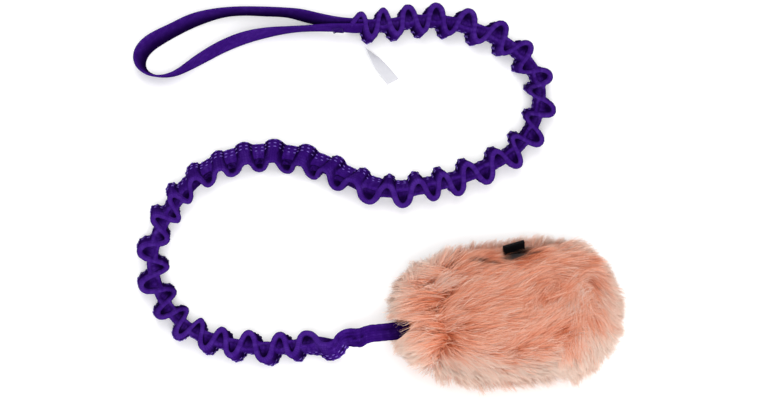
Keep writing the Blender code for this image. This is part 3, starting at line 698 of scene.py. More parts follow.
body = mesh_object("sleeve_whole", np.concatenate(solids.verts), solids.faces, sleeve_look)
remesh = body.modifiers.new("remesh", "REMESH")
remesh.mode = "VOXEL"
remesh.voxel_size = 0.00058
relax = body.modifiers.new("relax", "SMOOTH")
relax.factor = 0.5
relax.iterations = 3
bpy.context.view_layer.update()
made = bpy.data.meshes.new_from_object(body.evaluated_get(bpy.context.evaluated_depsgraph_get()))
bpy.data.objects.remove(body, do_unlink=True)
verts = np.empty(len(made.vertices) * 3, np.float32)
made.vertices.foreach_get("co", verts)
verts = verts.reshape(-1, 3).astype(float)
quads = np.empty(len(made.loops), np.int32)
made.loops.foreach_get("vertex_index", quads)
totals = np.empty(len(made.polygons), np.int32)
made.polygons.foreach_get("loop_total", totals)
assert (totals == 4).all()
quads = quads.reshape(-1, 4)
verts[:, 2] = np.maximum(verts[:, 2], 0.0002)


def normals_of(points, faces):
    a, b, c, d = (points[faces[:, i]] for i in range(4))
    n = np.cross(c - a, d - b)
    total = np.zeros_like(points)
    for i in range(4):
        np.add.at(total, faces[:, i], n)
    return unit(total)


# Where each vertex is on the ribbon, for its weave.
tree = kdtree.KDTree(len(path_s[::2]) * 9 + len(case_s[::2]) * 5)
marks = []
for b in np.linspace(-1, 1, 9):
    marks.append(np.column_stack([place(path_s[::2], path_n[::2], half_w[::2] * b), along[::2] * 1000, half_w[::2] * b * 1000]))
for b in np.linspace(CASE_LOW, CASE_HIGH, 5):
    marks.append(np.column_stack([place(case_s[::2], 0.0, b, straight=True), case_s[::2] * 1000, np.full(len(case_s[::2]), b * 1000)]))
marks = np.concatenate(marks)
for i, m in enumerate(marks):
    tree.insert(m[:3], i)
tree.balance()
found = np.array([tree.find(v)[1] for v in verts])
weave = marks[found, 3:5]
spine_tree = kdtree.KDTree(len(spine[::2]))
for i, p in enumerate(spine[::2]):
    spine_tree.insert(p, i)
spine_tree.balance()
spine_index = np.array([spine_tree.find(v)[1] for v in verts]) * 2
vert_s = reach[spine_index]

# Small slackness of the cloth.
phase = rng.uniform(0, 2 * math.pi, (6, 3))
ripple = np.zeros(len(verts))
for k, (wave_length, size_) in enumerate(((0.006, 0.00010), (0.0041, 0.00008), (0.0029, 0.00006))):
    w = 2 * math.pi / wave_length
    ripple += size_ * np.sin(verts[:, 0] * w + phase[k, 0]) * np.sin(verts[:, 1] * w + phase[k, 1]) * np.sin(verts[:, 2] * w * 0.8 + phase[k, 2])
verts += normals_of(verts, quads) * ripple[:, None]
verts[:, 2] = np.maximum(verts[:, 2], 0.0002)
normals = normals_of(verts, quads)

# Painted shade in the hollows and low on the flanks of each wave, and towards the edge that lies down; plain on its rim
# and its end face.
offset = verts - spine[spine_index]
local_n = np.sum(offset * face_n[spine_index], axis=1)
slant = np.sum(lean_b * tangent, axis=1)[spine_index]
local_b = np.sum(offset * lean_b[spine_index], axis=1) / (1 - slant**2)
facing_out = np.sum(normals * face_n[spine_index], axis=1) * np.sign(local_n)
facing_up = np.sum(normals * face_b[spine_index], axis=1)
facing_along = np.abs(np.sum(normals * tangent[spine_index], axis=1))
rim_part = smooth_step(facing_up, -0.05, 0.45) * smooth_step(local_b, 0.0062, 0.0078)
open_part = smooth_step(facing_out, -0.10, 0.35)
flank_part = smooth_step(facing_along, 0.50, 0.88)
face_shade = 0.80 + 0.20 * smooth_step(local_b, -0.0088, -0.0040)
flank_shade = 0.16 + 0.84 * smooth_step(local_b, -0.0010, 0.0074)
hollow_shade = 0.30 + 0.70 * smooth_step(local_b, 0.0040, 0.0080)
sleeve_shade = open_part * (face_shade * (1 - flank_part) + flank_shade * flank_part) + (1 - open_part) * hollow_shade
# Painted shade on sides that look back (+y) or towards +x, unless they face up; the rim stays plain.
level_part = 1 - smooth_step(normals[:, 2], 0.45, 0.80)
sleeve_shade *= 1 - 0.88 * smooth_step(normals[:, 1], 0.10, 0.60) * level_part
sleeve_shade *= 1 - 0.55 * smooth_step(normals[:, 0], 0.50, 0.95) * level_part
sleeve_shade = np.maximum(sleeve_shade, rim_part)
# Painted shade: a dark spot within each wave, at about half its height and away from its rim.
local_s = vert_s + np.sum(offset * tangent[spine_index], axis=1) - local_b * slant
wave_middle_shade = np.zeros(len(verts))
for s_mid, n_top in zip(nodes_s[1:-1], nodes_n[1:-1]):
    near = np.abs(local_s - s_mid) < 0.009
    spot = np.exp(-(((local_s[near] - s_mid) / 0.0027) ** 2) - ((local_n[near] - 0.56 * n_top) / 0.0038) ** 2)
    wave_middle_shade[near] = np.maximum(wave_middle_shade[near], spot)
sleeve_shade *= 1 - 0.96 * wave_middle_shade * (1 - smooth_step(local_b, 0.0068, 0.0082))
# The strap: plain, creased along its length with painted shade in the creases, and with painted shade from the pile at
# its end.
strap_part = smooth_step(vert_s, LENGTH - 0.002, LENGTH + 0.010)
crease = np.zeros(len(verts))
for at_mm, wide_mm, turns_, start in ((2.6, 0.55, 230.0, 0.4), (-0.4, 0.45, 310.0, 2.0), (-3.4, 0.60, 190.0, 4.0)):
    where = at_mm + 0.9 * np.sin(vert_s * turns_ + start)
    crease = np.maximum(crease, np.exp(-(((weave[:, 1] - where) / wide_mm) ** 2)) * (0.55 + 0.45 * np.sin(vert_s * turns_ * 0.6 + start)))
strap_shade = (1 - 0.75 * crease) * (1 - 0.85 * smooth_step(vert_s, ALL_LENGTH - 0.030, ALL_LENGTH - 0.008))
sleeve_shade = sleeve_shade * (1 - strap_part) + strap_shade * strap_part
verts -= normals * (0.00042 * crease * strap_part)[:, None]

ends = [LENGTH * k / 4 for k in range(5)]
face_s = vert_s[quads].mean(axis=1)
cuts = [-1.0, ends[1], ends[2], ends[3], ends[4], 9.0]
sleeve_parts = []
for k in range(5):
    chosen = quads[(face_s >= cuts[k]) & (face_s < cuts[k + 1])]
    used, index = np.unique(chosen, return_inverse=True)
    name = f"sleeve_length_{k + 1}" if k < 4 else "strap_webbing"
    ob = mesh_object(name, verts[used], index.reshape(-1, 4).astype(np.int32), sleeve_look if k < 4 else webbing_look, weave=weave[used])
    ob.data.normals_split_custom_set_from_vertices([tuple(n) for n in normals[used]])
    # The painted shade goes into the depth attribute.
    paint_shade(ob, sleeve_shade[used])
    sleeve_parts.append(ob)
bpy.data.meshes.remove(made)


# Three rows of stitches along both faces of the sleeve.
def layer_line(sign):
    """The outer face on one side: along the tight layer, and out over each wave."""
    s, n = path_s + out_s * half_t * sign, path_n + out_n * half_t * sign
    level = sign * (RAIL_N + RAIL_T)
    keep = (n - level) * sign > 0
    pts_s, pts_n, i = [], [], 0
    while i < len(s):
        if keep[i]:
            pts_s.append(s[i])
            pts_n.append(n[i])
            i += 1
            continue
        j = i
        while j < len(s) and not keep[j]:
            j += 1
        a = pts_s[-1] if pts_s else s[i]
        b = s[j] if j < len(s) else s[-1]
        if j >= len(s) or a > LENGTH:
            pts_s += list(s[i:j])
            pts_n += list(n[i:j])
        else:
            fill = np.linspace(a, b, max(3, int(abs(b - a) / 0.0005)))[1:-1]
            pts_s += list(fill)
            pts_n += [level] * len(fill)
        i = j
    return np.array(pts_s), np.array(pts_n)


THREAD = 0.00038
dash_parts = [Solids() for _ in range(5)]
dash_shades = [[] for _ in range(5)]
for sign in (-1, 1):
    ls, ln = layer_line(sign)
    for row, b in enumerate((-0.0077, -0.0052, -0.0025)):
        pts = place(ls, ln, b * np.interp(ls, path_s[::30], (half_w / HALF_W)[::30]))
        run = np.concatenate(([0.0], np.cumsum(np.linalg.norm(np.diff(pts, axis=0), axis=1))))
        up = unit(np.cross(*(lambda t, w: (w, t) if sign > 0 else (t, w))(directions(pts), at_s(ls, lean_b)[0])))
        guess = at_s(ls, face_n)[0] * sign
        starts = np.arange(0.001 + 0.0008 * row, run[-1] - 0.012, 0.0044)
        lengths = 0.0021 + rng.uniform(-0.0002, 0.0002, len(starts))
        for a, length in zip(starts, lengths):
            f = np.array([0.0, 0.14, 0.5, 0.86, 1.0])
            r = THREAD * np.array([0.35, 0.9, 1.0, 0.9, 0.35])
            x = a + f * length
            p = np.stack([np.interp(x, run, pts[:, j]) for j in range(3)], axis=1)
            w = unit(np.stack([np.interp(x, run, up[:, j]) for j in range(3)], axis=1))
            d = unit(p[-1] - p[0])
            lift = np.array([-0.0002, 0.00012, 0.00022, 0.00012, -0.0002])
            p = p + w * lift[:, None]
            v = unit(np.cross(d, w))
            angle = 2 * math.pi * np.arange(6) / 6
            ringed = p[:, None] + (w[:, None] * np.cos(angle)[:, None] * 0.8 + v[:, None] * np.sin(angle)[:, None]) * r[:, None, None]
            mid_s = np.interp(x[2], run, ls)
            if mid_s > LENGTH + 0.020:
                continue
            part = int(np.searchsorted(cuts[1:5], mid_s))
            ringed[..., 2] = np.maximum(ringed[..., 2], 0.0001)
            dash_parts[part].rings(ringed)
            # Painted shade on stitches that look back (+y) or towards +x, unless they face up.
            away = 1 - float(smooth_step(w[2, 2], 0.45, 0.80))
            shade = (1 - 0.88 * float(smooth_step(w[2, 1], 0.10, 0.55)) * away) * (1 - 0.6 * float(smooth_step(w[2, 0], 0.5, 0.95)) * away)
            dash_shades[part] += [shade] * 30
stitch_parts = []
for k, part in enumerate(dash_parts):
    name = f"sleeve_stitches_{k + 1}" if k < 4 else "strap_stitches"
    stitch_parts.append(mesh_object(name, np.concatenate(part.verts), part.faces, thread_look))
    paint_shade(stitch_parts[-1], np.array(dash_shades[k])[: len(stitch_parts[-1].data.vertices)])


def stretch(ob):
    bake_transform(ob)


for k in range(4):
    ob = sleeve_parts[k]
    stretch(ob)
    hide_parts(f"sleeve_{k + 1}")
    inside = (reach >= ends[k] - 1e-6) & (reach <= ends[k + 1] + 1e-6)
    stretch(stitch_parts[k])

# Elastic: a flat band in the tight layer.
for k in range(4):
    s = np.linspace(ends[k] + 0.0002 + (0.011 if k == 0 else 0), ends[k + 1] - 0.0002, 120)
    band = []
    for b, n in ((-0.0070, -0.0008), (-0.0026, -0.0008), (-0.0020, 0), (-0.0026, 0.0008), (-0.0070, 0.0008), (-0.0076, 0)):
        band.append(place(s, n, b, straight=True))
    part = Solids()
    part.rings(np.stack(band, axis=1))
    ob = mesh_object(f"elastic_band_{k + 1}", np.concatenate(part.verts), part.faces, elastic_look)
    stretch(ob)
    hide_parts(f"elastic_core_{k + 1}")

for ob in (sleeve_parts[4], stitch_parts[4]):
    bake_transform(ob)
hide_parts("tail_strap", "strap_anchor")
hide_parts("tail_stitching")


# ------------------------------------------------------------------- hand loop
def band_object(name, line, across, width, thick, look, rows=7, cap=True):
    """A woven band: its width runs along across and its faces look sideways."""
    d = directions(line)
    across = unit(across - d * np.sum(across * d, axis=1)[:, None])
    out = np.cross(across, d)
    w = np.broadcast_to(np.asarray(width, float) / 2, len(line))[:, None]
    t = thick / 2
    top = [(b, 1.0 - 0.10 * math.cos(b * math.pi) * 0.5) for b in np.linspace(-0.9, 0.9, rows)]
    top = [(-1, 0), (-0.975, 0.62), *top, (0.975, 0.62), (1, 0)]
    section = top + [(b, -h) for b, h in reversed(top[1:-1])]
    pts = np.stack([line + across * (w * b) + out * (t * h) for b, h in section], axis=1)
    run = np.concatenate(([0.0], np.cumsum(np.linalg.norm(np.diff(line, axis=0), axis=1)))) * 1000
    weave_ = np.stack([np.stack([run, w[:, 0] * b * 1000], axis=1) for b, h in section], axis=1)
    ob = mesh_object(name, pts.reshape(-1, 3), ring_faces(*pts.shape[:2]), look, weave=weave_.reshape(-1, 2))
    # Painted shade low on the side that looks into the loop, and a little low on the other side.
    height = np.array([h for b, h in section])[None]
    inner = smooth_step(pts[..., 2], 0.0030, 0.0125)
    outer = 0.72 + 0.28 * smooth_step(pts[..., 2], 0.0, 0.004)
    share = smooth_step(height, -0.5, 0.5)
    paint_shade(ob, (inner * share + outer * (1 - share)).ravel())
    return ob


keys = [(*room(u, v, z / 1000), l_) for u, v, z, l_ in HANDLE_ROUTE]
loop = smooth_line(keys, 72)
loop_dirs = directions(loop)
inward = unit(np.cross((0.0, 0.0, 1.0), loop_dirs))
angle = np.radians(loop[:, 3])
across = np.cos(angle)[:, None] * np.array([0, 0, 1.0]) + np.sin(angle)[:, None] * inward
low_z = loop[:, 2] - np.abs(across[:, 2]) * WEB_WIDTH / 2 - WEB_THICK / 2 * np.hypot(across[:, 0], across[:, 1])
loop[:, 2] += np.maximum(0.0, -low_z)
# The two ends run on into the sleeve.
run_in = 0.0105
first = loop[0, :3] + whole_dirs[0] * np.linspace(run_in, run_in / 6, 6)[:, None]
final = loop[-1, :3] + whole_dirs[0] * np.linspace(run_in / 6, run_in, 6)[:, None]
middle = np.concatenate([loop[0:1, :3], loop[-1:, :3]]).mean(axis=0)
for part, ease in ((first, np.linspace(1, 0, 6)), (final, np.linspace(0, 1, 6))):
    side_in = part[:, 1] - (middle[1] + (part[:, 0] - middle[0]) * whole_dirs[0][1] / whole_dirs[0][0])
    part[:, 1] -= side_in * 0.42 * ease
line = np.concatenate([first, loop[:, :3], final])
across = np.concatenate([np.tile(across[0], (6, 1)), across, np.tile(across[-1], (6, 1))])
fine = smooth_line(np.concatenate([line, across], axis=1), 460)
handle = band_object("hand_loop_webbing", fine[:, :3], fine[:, 3:6], WEB_WIDTH, WEB_THICK, webbing_look)
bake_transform(handle)
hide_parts("handle_loop", "handle_anchor")
for name in ("handle_stitching",):
    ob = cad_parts[name]
    for slot_ in ob.material_slots:
        slot_.material = dark_thread_look

# ----------------------------------------------------------------------- label
keys = [(*room(u, v, z / 1000), l_) for u, v, z, l_ in LABEL_ROUTE]
label = smooth_line(keys, 60)
label_dirs = directions(label)
sideways = unit(np.cross((0.0, 0.0, 1.0), label_dirs))
down = np.linspace(0, 1, len(label))
angle = np.radians(np.interp(down, (0, 0.12, 0.3, 0.55, 0.8, 1), (24, 42, 60, 72, 80, 84)))
label_width = LABEL_WIDTH * (0.34 + 0.66 * smooth_step(down, -0.10, 0.55))
across = np.cos(angle)[:, None] * np.array([0, 0, 1.0]) - np.sin(angle)[:, None] * sideways
label[:, :3] -= across * ((LABEL_WIDTH - label_width) / 2)[:, None]
low_z = label[:, 2] - np.abs(across[:, 2]) * label_width / 2 - 0.00025
label[:, 2] += np.maximum(0.0, 0.0004 - low_z)
tag = band_object("care_label_satin", label[:, :3], across, label_width, 0.00034, label_look)
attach(tag, "label")
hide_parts("care_label")


# ----------------------------------------------------------------------- pouch
def bowl_point(a, b, h, turn_, rise, plan=2.6, dome=2.3):
    ct, st = np.cos(turn_), np.sin(turn_)
    x = a * np.sign(ct) * np.abs(ct) ** (2 / plan)
    y = b * np.sign(st) * np.abs(st) ** (2 / plan) * (1 + 0.07 * x / a)
    cr, sr = np.cos(rise) ** (2 / dome), np.sin(rise) ** (2 / dome)
    return np.stack([x * cr, y * cr, h * sr + 0 * x], axis=-1)


def shell(name, a, b, h, sign, thick, look, rises=26, around=120, z0=0.0004, creases=0.0):
    """A half bowl of cloth with an outer and an inner side."""
    turns = 2 * np.pi * (np.arange(around) + 0.5) / around
    sets = []
    for grow in (0.0, -thick):
        rings = []
        for j in range(rises):
            rise = (np.pi / 2) * (j / rises) ** 0.9
            p = bowl_point(a + grow, b + grow, h + grow, turns, np.full(around, rise))
            if creases:
                wob = creases * np.sin(turns * 7 + 3 * rise) * np.cos(rise) * np.sin(3 * rise)
                p[:, 2] += wob
            p[:, 2] = SEAM_Z + sign * (p[:, 2] + z0)
            rings.append(p)
        sets.append(np.stack(rings))
    count = rises * around
    pts = np.concatenate([sets[0].reshape(-1, 3), [[0, 0, SEAM_Z + sign * (h + z0)]], sets[1].reshape(-1, 3), [[0, 0, SEAM_Z + sign * (h - thick + z0)]]])
    faces = []
    for start, flip in ((0, False), (count + 1, True)):
        for j in range(rises - 1):
            for k in range(around):
                m = (k + 1) % around
                f = (start + j * around + k, start + j * around + m, start + (j + 1) * around + m, start + (j + 1) * around + k)
                faces.append(f[::-1] if flip else f)
        pole = start + count
        for k in range(around):
            m = (k + 1) % around
            f = (start + (rises - 1) * around + k, start + (rises - 1) * around + m, pole)
            faces.append(f[::-1] if flip else f)
    for k in range(around):
        m = (k + 1) % around
        faces.append((k, count + 1 + k, count + 1 + m, m))
    if sign < 0:
        faces = [f[::-1] for f in faces]
    rot = np.array([[math.cos(POUCH_YAW), -math.sin(POUCH_YAW), 0], [math.sin(POUCH_YAW), math.cos(POUCH_YAW), 0], [0, 0, 1]])
    return mesh_object(name, pts @ rot.T, faces, look)


# Painted shadow under the pull tab, and black painted on the pile where the fastening shows between the locks: place,
# half length, half width, slope and strength.
TAB_SHADOW_AND_TAPE = [
    (516.5, 254.8, 13.0, 4.6, -17.0, 1.0), (511.0, 258.6, 8.0, 1.8, 8.0, 0.9), (480.0, 259.5, 10.0, 1.4, 8.0, 0.85),
    (494.0, 262.0, 7.0, 1.1, 10.0, 0.75), (535.0, 252.5, 8.0, 1.3, -8.0, 0.8),
]


def tab_shadow_and_tape(places):
    dim = np.zeros(places.shape[:-1])
    for gu, gv, long_, thick, slope, strength in TAB_SHADOW_AND_TAPE:
        c, s = math.cos(math.radians(slope)), math.sin(math.radians(slope))
        du, dv = places[..., 0] - gu, places[..., 1] - gv
        dim = np.maximum(dim, strength * np.exp(-(((du * c + dv * s) / long_) ** 4) - ((dv * c - du * s) / thick) ** 4))
    return dim


ROT = np.array([[math.cos(POUCH_YAW), -math.sin(POUCH_YAW), 0], [math.sin(POUCH_YAW), math.cos(POUCH_YAW), 0], [0, 0, 1]])
for sign, body_name, h, word in ((1, "flap", SKIN_TOP, "upper"), (-1, "pouch", SKIN_BOTTOM, "lower")):
    skin = shell(f"pouch_{word}_skin", SKIN_A + 0.0014, SKIN_B + 0.0014, h + 0.0014, sign, 0.0013, backing_look)
    if sign > 0:
        at = np.empty(len(skin.data.vertices) * 3, np.float32)
        skin.data.vertices.foreach_get("co", at)
        # Painted shadow under the pull tab and the black of the fastening, on the upper skin.
        dark = tab_shadow_and_tape(on_sheet(at.reshape(-1, 3))[0])
        skin.data.attributes.new("dim", "FLOAT", "POINT").data.foreach_set("value", dark.astype(np.float32))
    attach(skin, body_name)
    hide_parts(f"pouch_{word}_fur")
    inner = shell(f"pouch_{word}_inside", SKIN_A - 0.0002, SKIN_B - 0.0002, h - 0.0002, sign, 0.0012, lining_look, creases=0.0004)
    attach(inner, body_name)
    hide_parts(f"pouch_{word}_lining")
for name, look in (("hook_tape", hook_look), ("loop_tape", loop_look), ("pull_tab", tab_look)):
    for slot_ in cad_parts[name].material_slots:
        slot_.material = look

# ------------------------------------------------------------------------- fur
# Lie of the pile as seen on the sheet: u, v, direction in degrees from +u, turning up.
LIE = [
    (390, 300, 200), (391, 318, 218), (400, 335, 208), (400, 352, 188), (404, 282, 192), (410, 300, 202),
    (414, 320, 222), (418, 336, 212), (414, 354, 186), (410, 368, 205), (426, 378, 235), (420, 284, 190),
    (424, 300, 206), (428, 322, 216), (428, 340, 192), (424, 360, 182), (412, 272, 188),
    (442, 262, 4), (434, 272, 6), (447, 285, 8), (444, 303, 24), (450, 325, 6), (450, 345, -3),
    (442, 364, 10), (446, 382, -60), (460, 270, -4), (465, 290, 14), (470, 310, 12), (470, 330, 0),
    (470, 350, 3), (468, 368, 12), (472, 385, -65), (485, 264, -12), (490, 280, 8), (495, 295, 22),
    (495, 315, 8), (495, 335, 14), (498, 352, 48), (497, 370, 20), (502, 386, -62), (515, 267, 5),
    (515, 282, 25), (515, 300, 48), (520, 318, 32), (520, 338, 38), (525, 356, 30), (527, 372, 22),
    (532, 384, -60), (535, 266, 6), (532, 289, -105), (540, 305, 40), (545, 322, 42), (548, 340, 34),
    (549, 358, 28), (552, 372, 15), (552, 384, -55), (550, 255, -3), (552, 276, -122), (562, 295, 45),
    (566, 314, 44), (566, 346, -112), (568, 366, -70), (570, 246, -14), (570, 262, -8), (573, 283, -118),
    (575, 301, -108), (578, 326, -105), (578, 346, -104), (578, 370, -60), (590, 244, 20), (590, 276, -95),
    (592, 296, -88), (590, 316, -92), (592, 336, -95), (595, 354, -82), (592, 370, -55), (604, 256, 18),
    (610, 280, 0), (612, 305, -3), (612, 330, -10), (607, 352, -28), (470, 243, 86), (500, 239, 90),
    (530, 239, 88), (560, 233, 84), (584, 238, 60), (430, 264, 150), (402, 276, 168),
]
# Where the pile parts or thins, painted shade; by the pull tab and along the mouth, painted shadow; below zero, a
# painted lightening: u, v, reach and how much deeper the colour is.
PARTINGS_AND_SHADE = [
    (441, 321, 6, 0.10), (437, 345, 7, 0.16), (450, 350, 9, 0.10), (430, 357, 8, 0.06), (430, 302, 9, 0.04),
    (438, 268, 8, -0.18), (440, 286, 8, -0.20), (436, 372, 9, -0.14), (430, 280, 7, -0.14),
    (514, 263, 5, 0.50), (530, 257, 4, 0.34), (480, 259, 6, 0.34), (560, 333, 7, 0.36), (568, 346, 8, 0.16), (552, 294, 9, 0.26), (541, 271, 4, 0.22), (526, 300, 5, 0.14),
    (585, 262, 5, 0.20), (591, 281, 6, 0.18), (588, 317, 6, 0.18), (532, 350, 12, 0.12), (508, 356, 9, 0.14),
    (500, 336, 12, 0.05), (577, 298, 7, -0.22), (580, 328, 8, -0.14), (398, 300, 12, -0.16), (402, 356, 14, -0.16),
    (470, 374, 26, -0.16), (540, 372, 26, -0.18), (608, 300, 14, -0.16), (604, 345, 14, -0.16), (490, 342, 7, -0.08),
]
lie_at = np.array([l_[:2] for l_ in LIE], float)
lie_way = np.radians([l_[2] for l_ in LIE])


def lie_field(uv, sign, sides):
    """Direction of the pile; by the strap its slant varies gently, and the side it points to by whole locks."""
    use = np.ones(len(lie_at))
    if sign > 0:  # the fringe behind the mouth is the lower shell's
        use = np.where((lie_at[:, 1] < 250) & (lie_at[:, 0] < 568) & (lie_at[:, 0] > 460), 0.0, 1.0)
    w = use / (((uv[:, None, :] - lie_at[None]) ** 2).sum(axis=2) + 45.0) ** 2.2
    slant = 0.5 * np.arctan2((w * np.sin(2 * lie_way)).sum(axis=1), (w * np.cos(2 * lie_way)).sum(axis=1))
    near = np.stack([np.cos(slant), np.sin(slant)], axis=1)
    far = unit(np.stack([(w * np.cos(lie_way)).sum(axis=1), (w * np.sin(lie_way)).sum(axis=1)], axis=1))
    w = use / (((sides[:, None, :] - lie_at[None]) ** 2).sum(axis=2) + 45.0) ** 2.2
    pick = np.stack([(w * np.cos(lie_way)).sum(axis=1), (w * np.sin(lie_way)).sum(axis=1)], axis=1)
    near *= np.where(np.sum(near * pick, axis=1) < 0, -1.0, 1.0)[:, None]
    share = smooth_step(uv[:, 0], 466, 482)[:, None]
    return unit(near * (1 - share) + far * share)


def surface(a, b, h, sign, turn_, rise):
    e = 1e-4
    p = bowl_point(a, b, h, turn_, rise)
    du = bowl_point(a, b, h, turn_ + e, rise) - bowl_point(a, b, h, turn_ - e, rise)
    dv = bowl_point(a, b, h, turn_, np.clip(rise + e, 0, np.pi / 2)) - bowl_point(a, b, h, turn_, np.clip(rise - e, 0, None))
    n = np.cross(du, dv)
    area = np.linalg.norm(n, axis=-1)
    n = unit(n)
    p, n = p.copy(), n.copy()
    p[:, 2] *= sign
    n[:, 2] *= sign
    p[:, 2] += SEAM_Z + sign * 0.0004
    return p @ ROT.T, n @ ROT.T, area


def roots(count, sign, h, seed):
    """Places on the shell; the lower shell has more of them behind the mouth."""
    r = np.random.default_rng(seed)
    found_p, found_n, have = [], [], 0
    while have < count:
        turn_ = r.uniform(0, 2 * np.pi, 200000)
        rise = np.arcsin(r.uniform(0, 1, 200000)) * 0.995 + 0.001
        p, n, area = surface(SKIN_A + 0.0012, SKIN_B + 0.0012, h + 0.0012, sign, turn_, rise)
        weight = area / np.maximum(np.cos(rise), 1e-3)
        if sign < 0:
            weight = weight * (1 + 4.5 * smooth_step((p @ ROT)[:, 1], 0.012, 0.026) * (rise < 0.75))
        keep = r.uniform(0, 1, len(weight)) < weight / np.percentile(weight, 97)
        keep &= np.isfinite(p).all(axis=1) & np.isfinite(n).all(axis=1) & (np.linalg.norm(n, axis=1) > 0.5)
        found_p.append(p[keep])
        found_n.append(n[keep])
        have += int(keep.sum())
    return np.concatenate(found_p)[:count], np.concatenate(found_n)[:count]


def strands(p, n, sign, seed, length=0.0245, points=7):
    """Centre lines (count, points, 3) of the pile at roots p with normals n."""
    r = np.random.default_rng(seed)
    count = len(p)
    uv, _ = on_sheet(p + n * 0.006)
    # The pile grows in locks that differ a little in direction and length.
    centres = r.choice(count, count // 110, replace=False)
    lock_tree = kdtree.KDTree(len(centres))
    for i, c in enumerate(centres):
        lock_tree.insert(p[c], i)
    lock_tree.balance()
    lock = np.array([lock_tree.find(v)[1] for v in p])
    way = lie_field(uv, sign, (uv[centres] + r.normal(0, 12.0, (len(centres), 2)))[lock])
    flow = way[:, :1] * RIGHT + way[:, 1:] * UP
    # On sides that look away from the eye, the pile keeps to the plan direction.
    flat_flow = unit(way[:, :1] * np.array([1.0, 0, 0]) + way[:, 1:] * np.array([0, 1.0, 0]))
    seen = smooth_step(n @ TO_EYE, -0.2, 0.4)[:, None]
    flow = flow * seen + flat_flow * (1 - seen)
    flow = unit(flow - n * np.sum(flow * n, axis=1)[:, None])
    plan = p @ ROT
    edge = smooth_step(np.hypot(plan[:, 0] / SKIN_A, plan[:, 1] / SKIN_B), 0.74, 1.05)[:, None]
    outward = unit(np.stack([plan[:, 0] / SKIN_A**2, plan[:, 1] / SKIN_B**2, 0 * plan[:, 0]], axis=1)) @ ROT.T
    swerve = r.normal(0, 0.17, len(centres))[lock][:, None]
    flow = flow * np.cos(swerve) + np.cross(n, flow) * np.sin(swerve)
    # Along the mouth the upper shell's pile lies along the edge, and the lower shell's stands up behind it.
    mouth = smooth_step(plan[:, 1], 0.020, 0.034) * (1 - smooth_step(uv[:, 0], 538, 562)) * smooth_step(uv[:, 0], 436, 452)
    mouth = mouth[:, None]
    against = np.maximum(0.0, -np.sum(flow * outward, axis=1))[:, None]
    push = (0.45 * (1 - mouth) if sign > 0 else 1.2) + against * 0.7 * (1 - mouth)
    flow = flow + outward * edge * push + r.normal(0, 0.13, (count, 3))
    if sign < 0:
        behind = smooth_step(plan[:, 1], 0.018, 0.033)[:, None]
        flow = flow + behind * (0, 0, 0.40)
    flow = unit(flow)
    long = length * (0.72 + 0.42 * r.uniform(0, 1, count)) * (1 - 0.25 * edge[:, 0])
    long *= 1 + np.clip(r.normal(0, 0.085, len(centres))[lock], -0.2, 0.2)
    long *= 1 - 0.20 * smooth_step(plan[:, 0], 0.045, 0.064) - 0.12 * smooth_step(-plan[:, 1], 0.02, 0.038)
    long *= 1 - 0.10 * smooth_step(-plan[:, 0], 0.045, 0.060)
    if sign < 0:
        long *= 1 - 0.04 * smooth_step(plan[:, 1], 0.018, 0.033)
    lift = np.radians(32 + 12 * edge[:, 0] + r.normal(0, 8, count))
    if sign > 0:
        lift *= 1 - 0.50 * mouth[:, 0]
    out = np.zeros((count, points, 3))
    out[:, 0] = p
    here = p.copy()
    step = (long / (points - 1))[:, None]
    for i in range(1, points):
        f = i / (points - 1)
        a = lift * (1.35 - 1.25 * f)
        d = unit(n * np.sin(a)[:, None] + flow * np.cos(a)[:, None] + np.array([0, 0, -0.12 * f]) * edge)
        here = here + d * step
        out[:, i] = here
    return out


def curl(lines, seed, size=0.0008):
    r = np.random.default_rng(seed)
    count, points = lines.shape[:2]
    f = np.linspace(0, 1, points)[None, :, None]
    d = unit(lines[:, -1] - lines[:, 0])
    a = unit(np.cross(d, (0.3, 0.2, 1.0)))
    b = np.cross(d, a)
    p1, p2 = r.uniform(0, 2 * np.pi, (2, count, 1, 1))
    amount = (size * r.uniform(0.2, 1.7, count))[:, None, None]
    return lines + amount * f * (a[:, None] * np.sin(6.5 * f + p1) + b[:, None] * np.sin(7.5 * f + p2))


def gather(lines, centre_count, pull, seed):
    """Draws the strands of each tuft towards a strand in its middle."""
    r = np.random.default_rng(seed)
    centres = r.choice(len(lines), centre_count, replace=False)
    t = kdtree.KDTree(centre_count)
    for i, c in enumerate(centres):
        t.insert(lines[c, 0], i)
    t.balance()
    nearest = np.array([t.find(p)[1] for p in lines[:, 0]])
    f = np.linspace(0, 1, lines.shape[1])[None, :, None]
    lead = lines[centres][nearest]
    own = (pull * r.uniform(0.3, 1.3, len(lines)))[:, None, None]
    return lines + (lead - lines) * np.clip(own * f**1.3, 0, 0.95), nearest


def inside(uv, corners):
    """Which points of the sheet are within a convex outline that is given clockwise as seen."""
    ok = np.ones(uv.shape[:-1], bool)
    for (x0, y0), (x1, y1) in zip(corners, corners[1:] + corners[:1]):
        ok &= (x1 - x0) * (uv[..., 1] - y0) - (y1 - y0) * (uv[..., 0] - x0) > 0
    return ok


# Where strands of the pile are left out: round the pull tab and where the strap goes in.
TAB_CLEAR = [(502.0, 246.0), (526.0, 240.0), (530.5, 252.5), (508.0, 261.5)]
STRAP_CLEAR = [(372.0, 324.0), (392.0, 319.5), (411.0, 322.0), (408.0, 331.0), (402.0, 336.5), (397.0, 340.0), (372.0, 346.0)]


def groomed(lines, seed):
    r = np.random.default_rng(seed)
    uv, _ = on_sheet(lines)
    before_tab = lines @ TO_EYE > 0.0100
    over_tab = (inside(uv, TAB_CLEAR) & before_tab).any(axis=1)
    over_strap = inside(uv, STRAP_CLEAR).any(axis=1) & (lines[..., 2].max(axis=1) > SEAM_Z - 0.004)
    stray = r.uniform(0, 1, len(lines))
    tip_only = ~inside(uv[:, :4], STRAP_CLEAR).any(axis=1)
    return ~(over_tab | (over_strap & (stray > 0.020 * tip_only)))


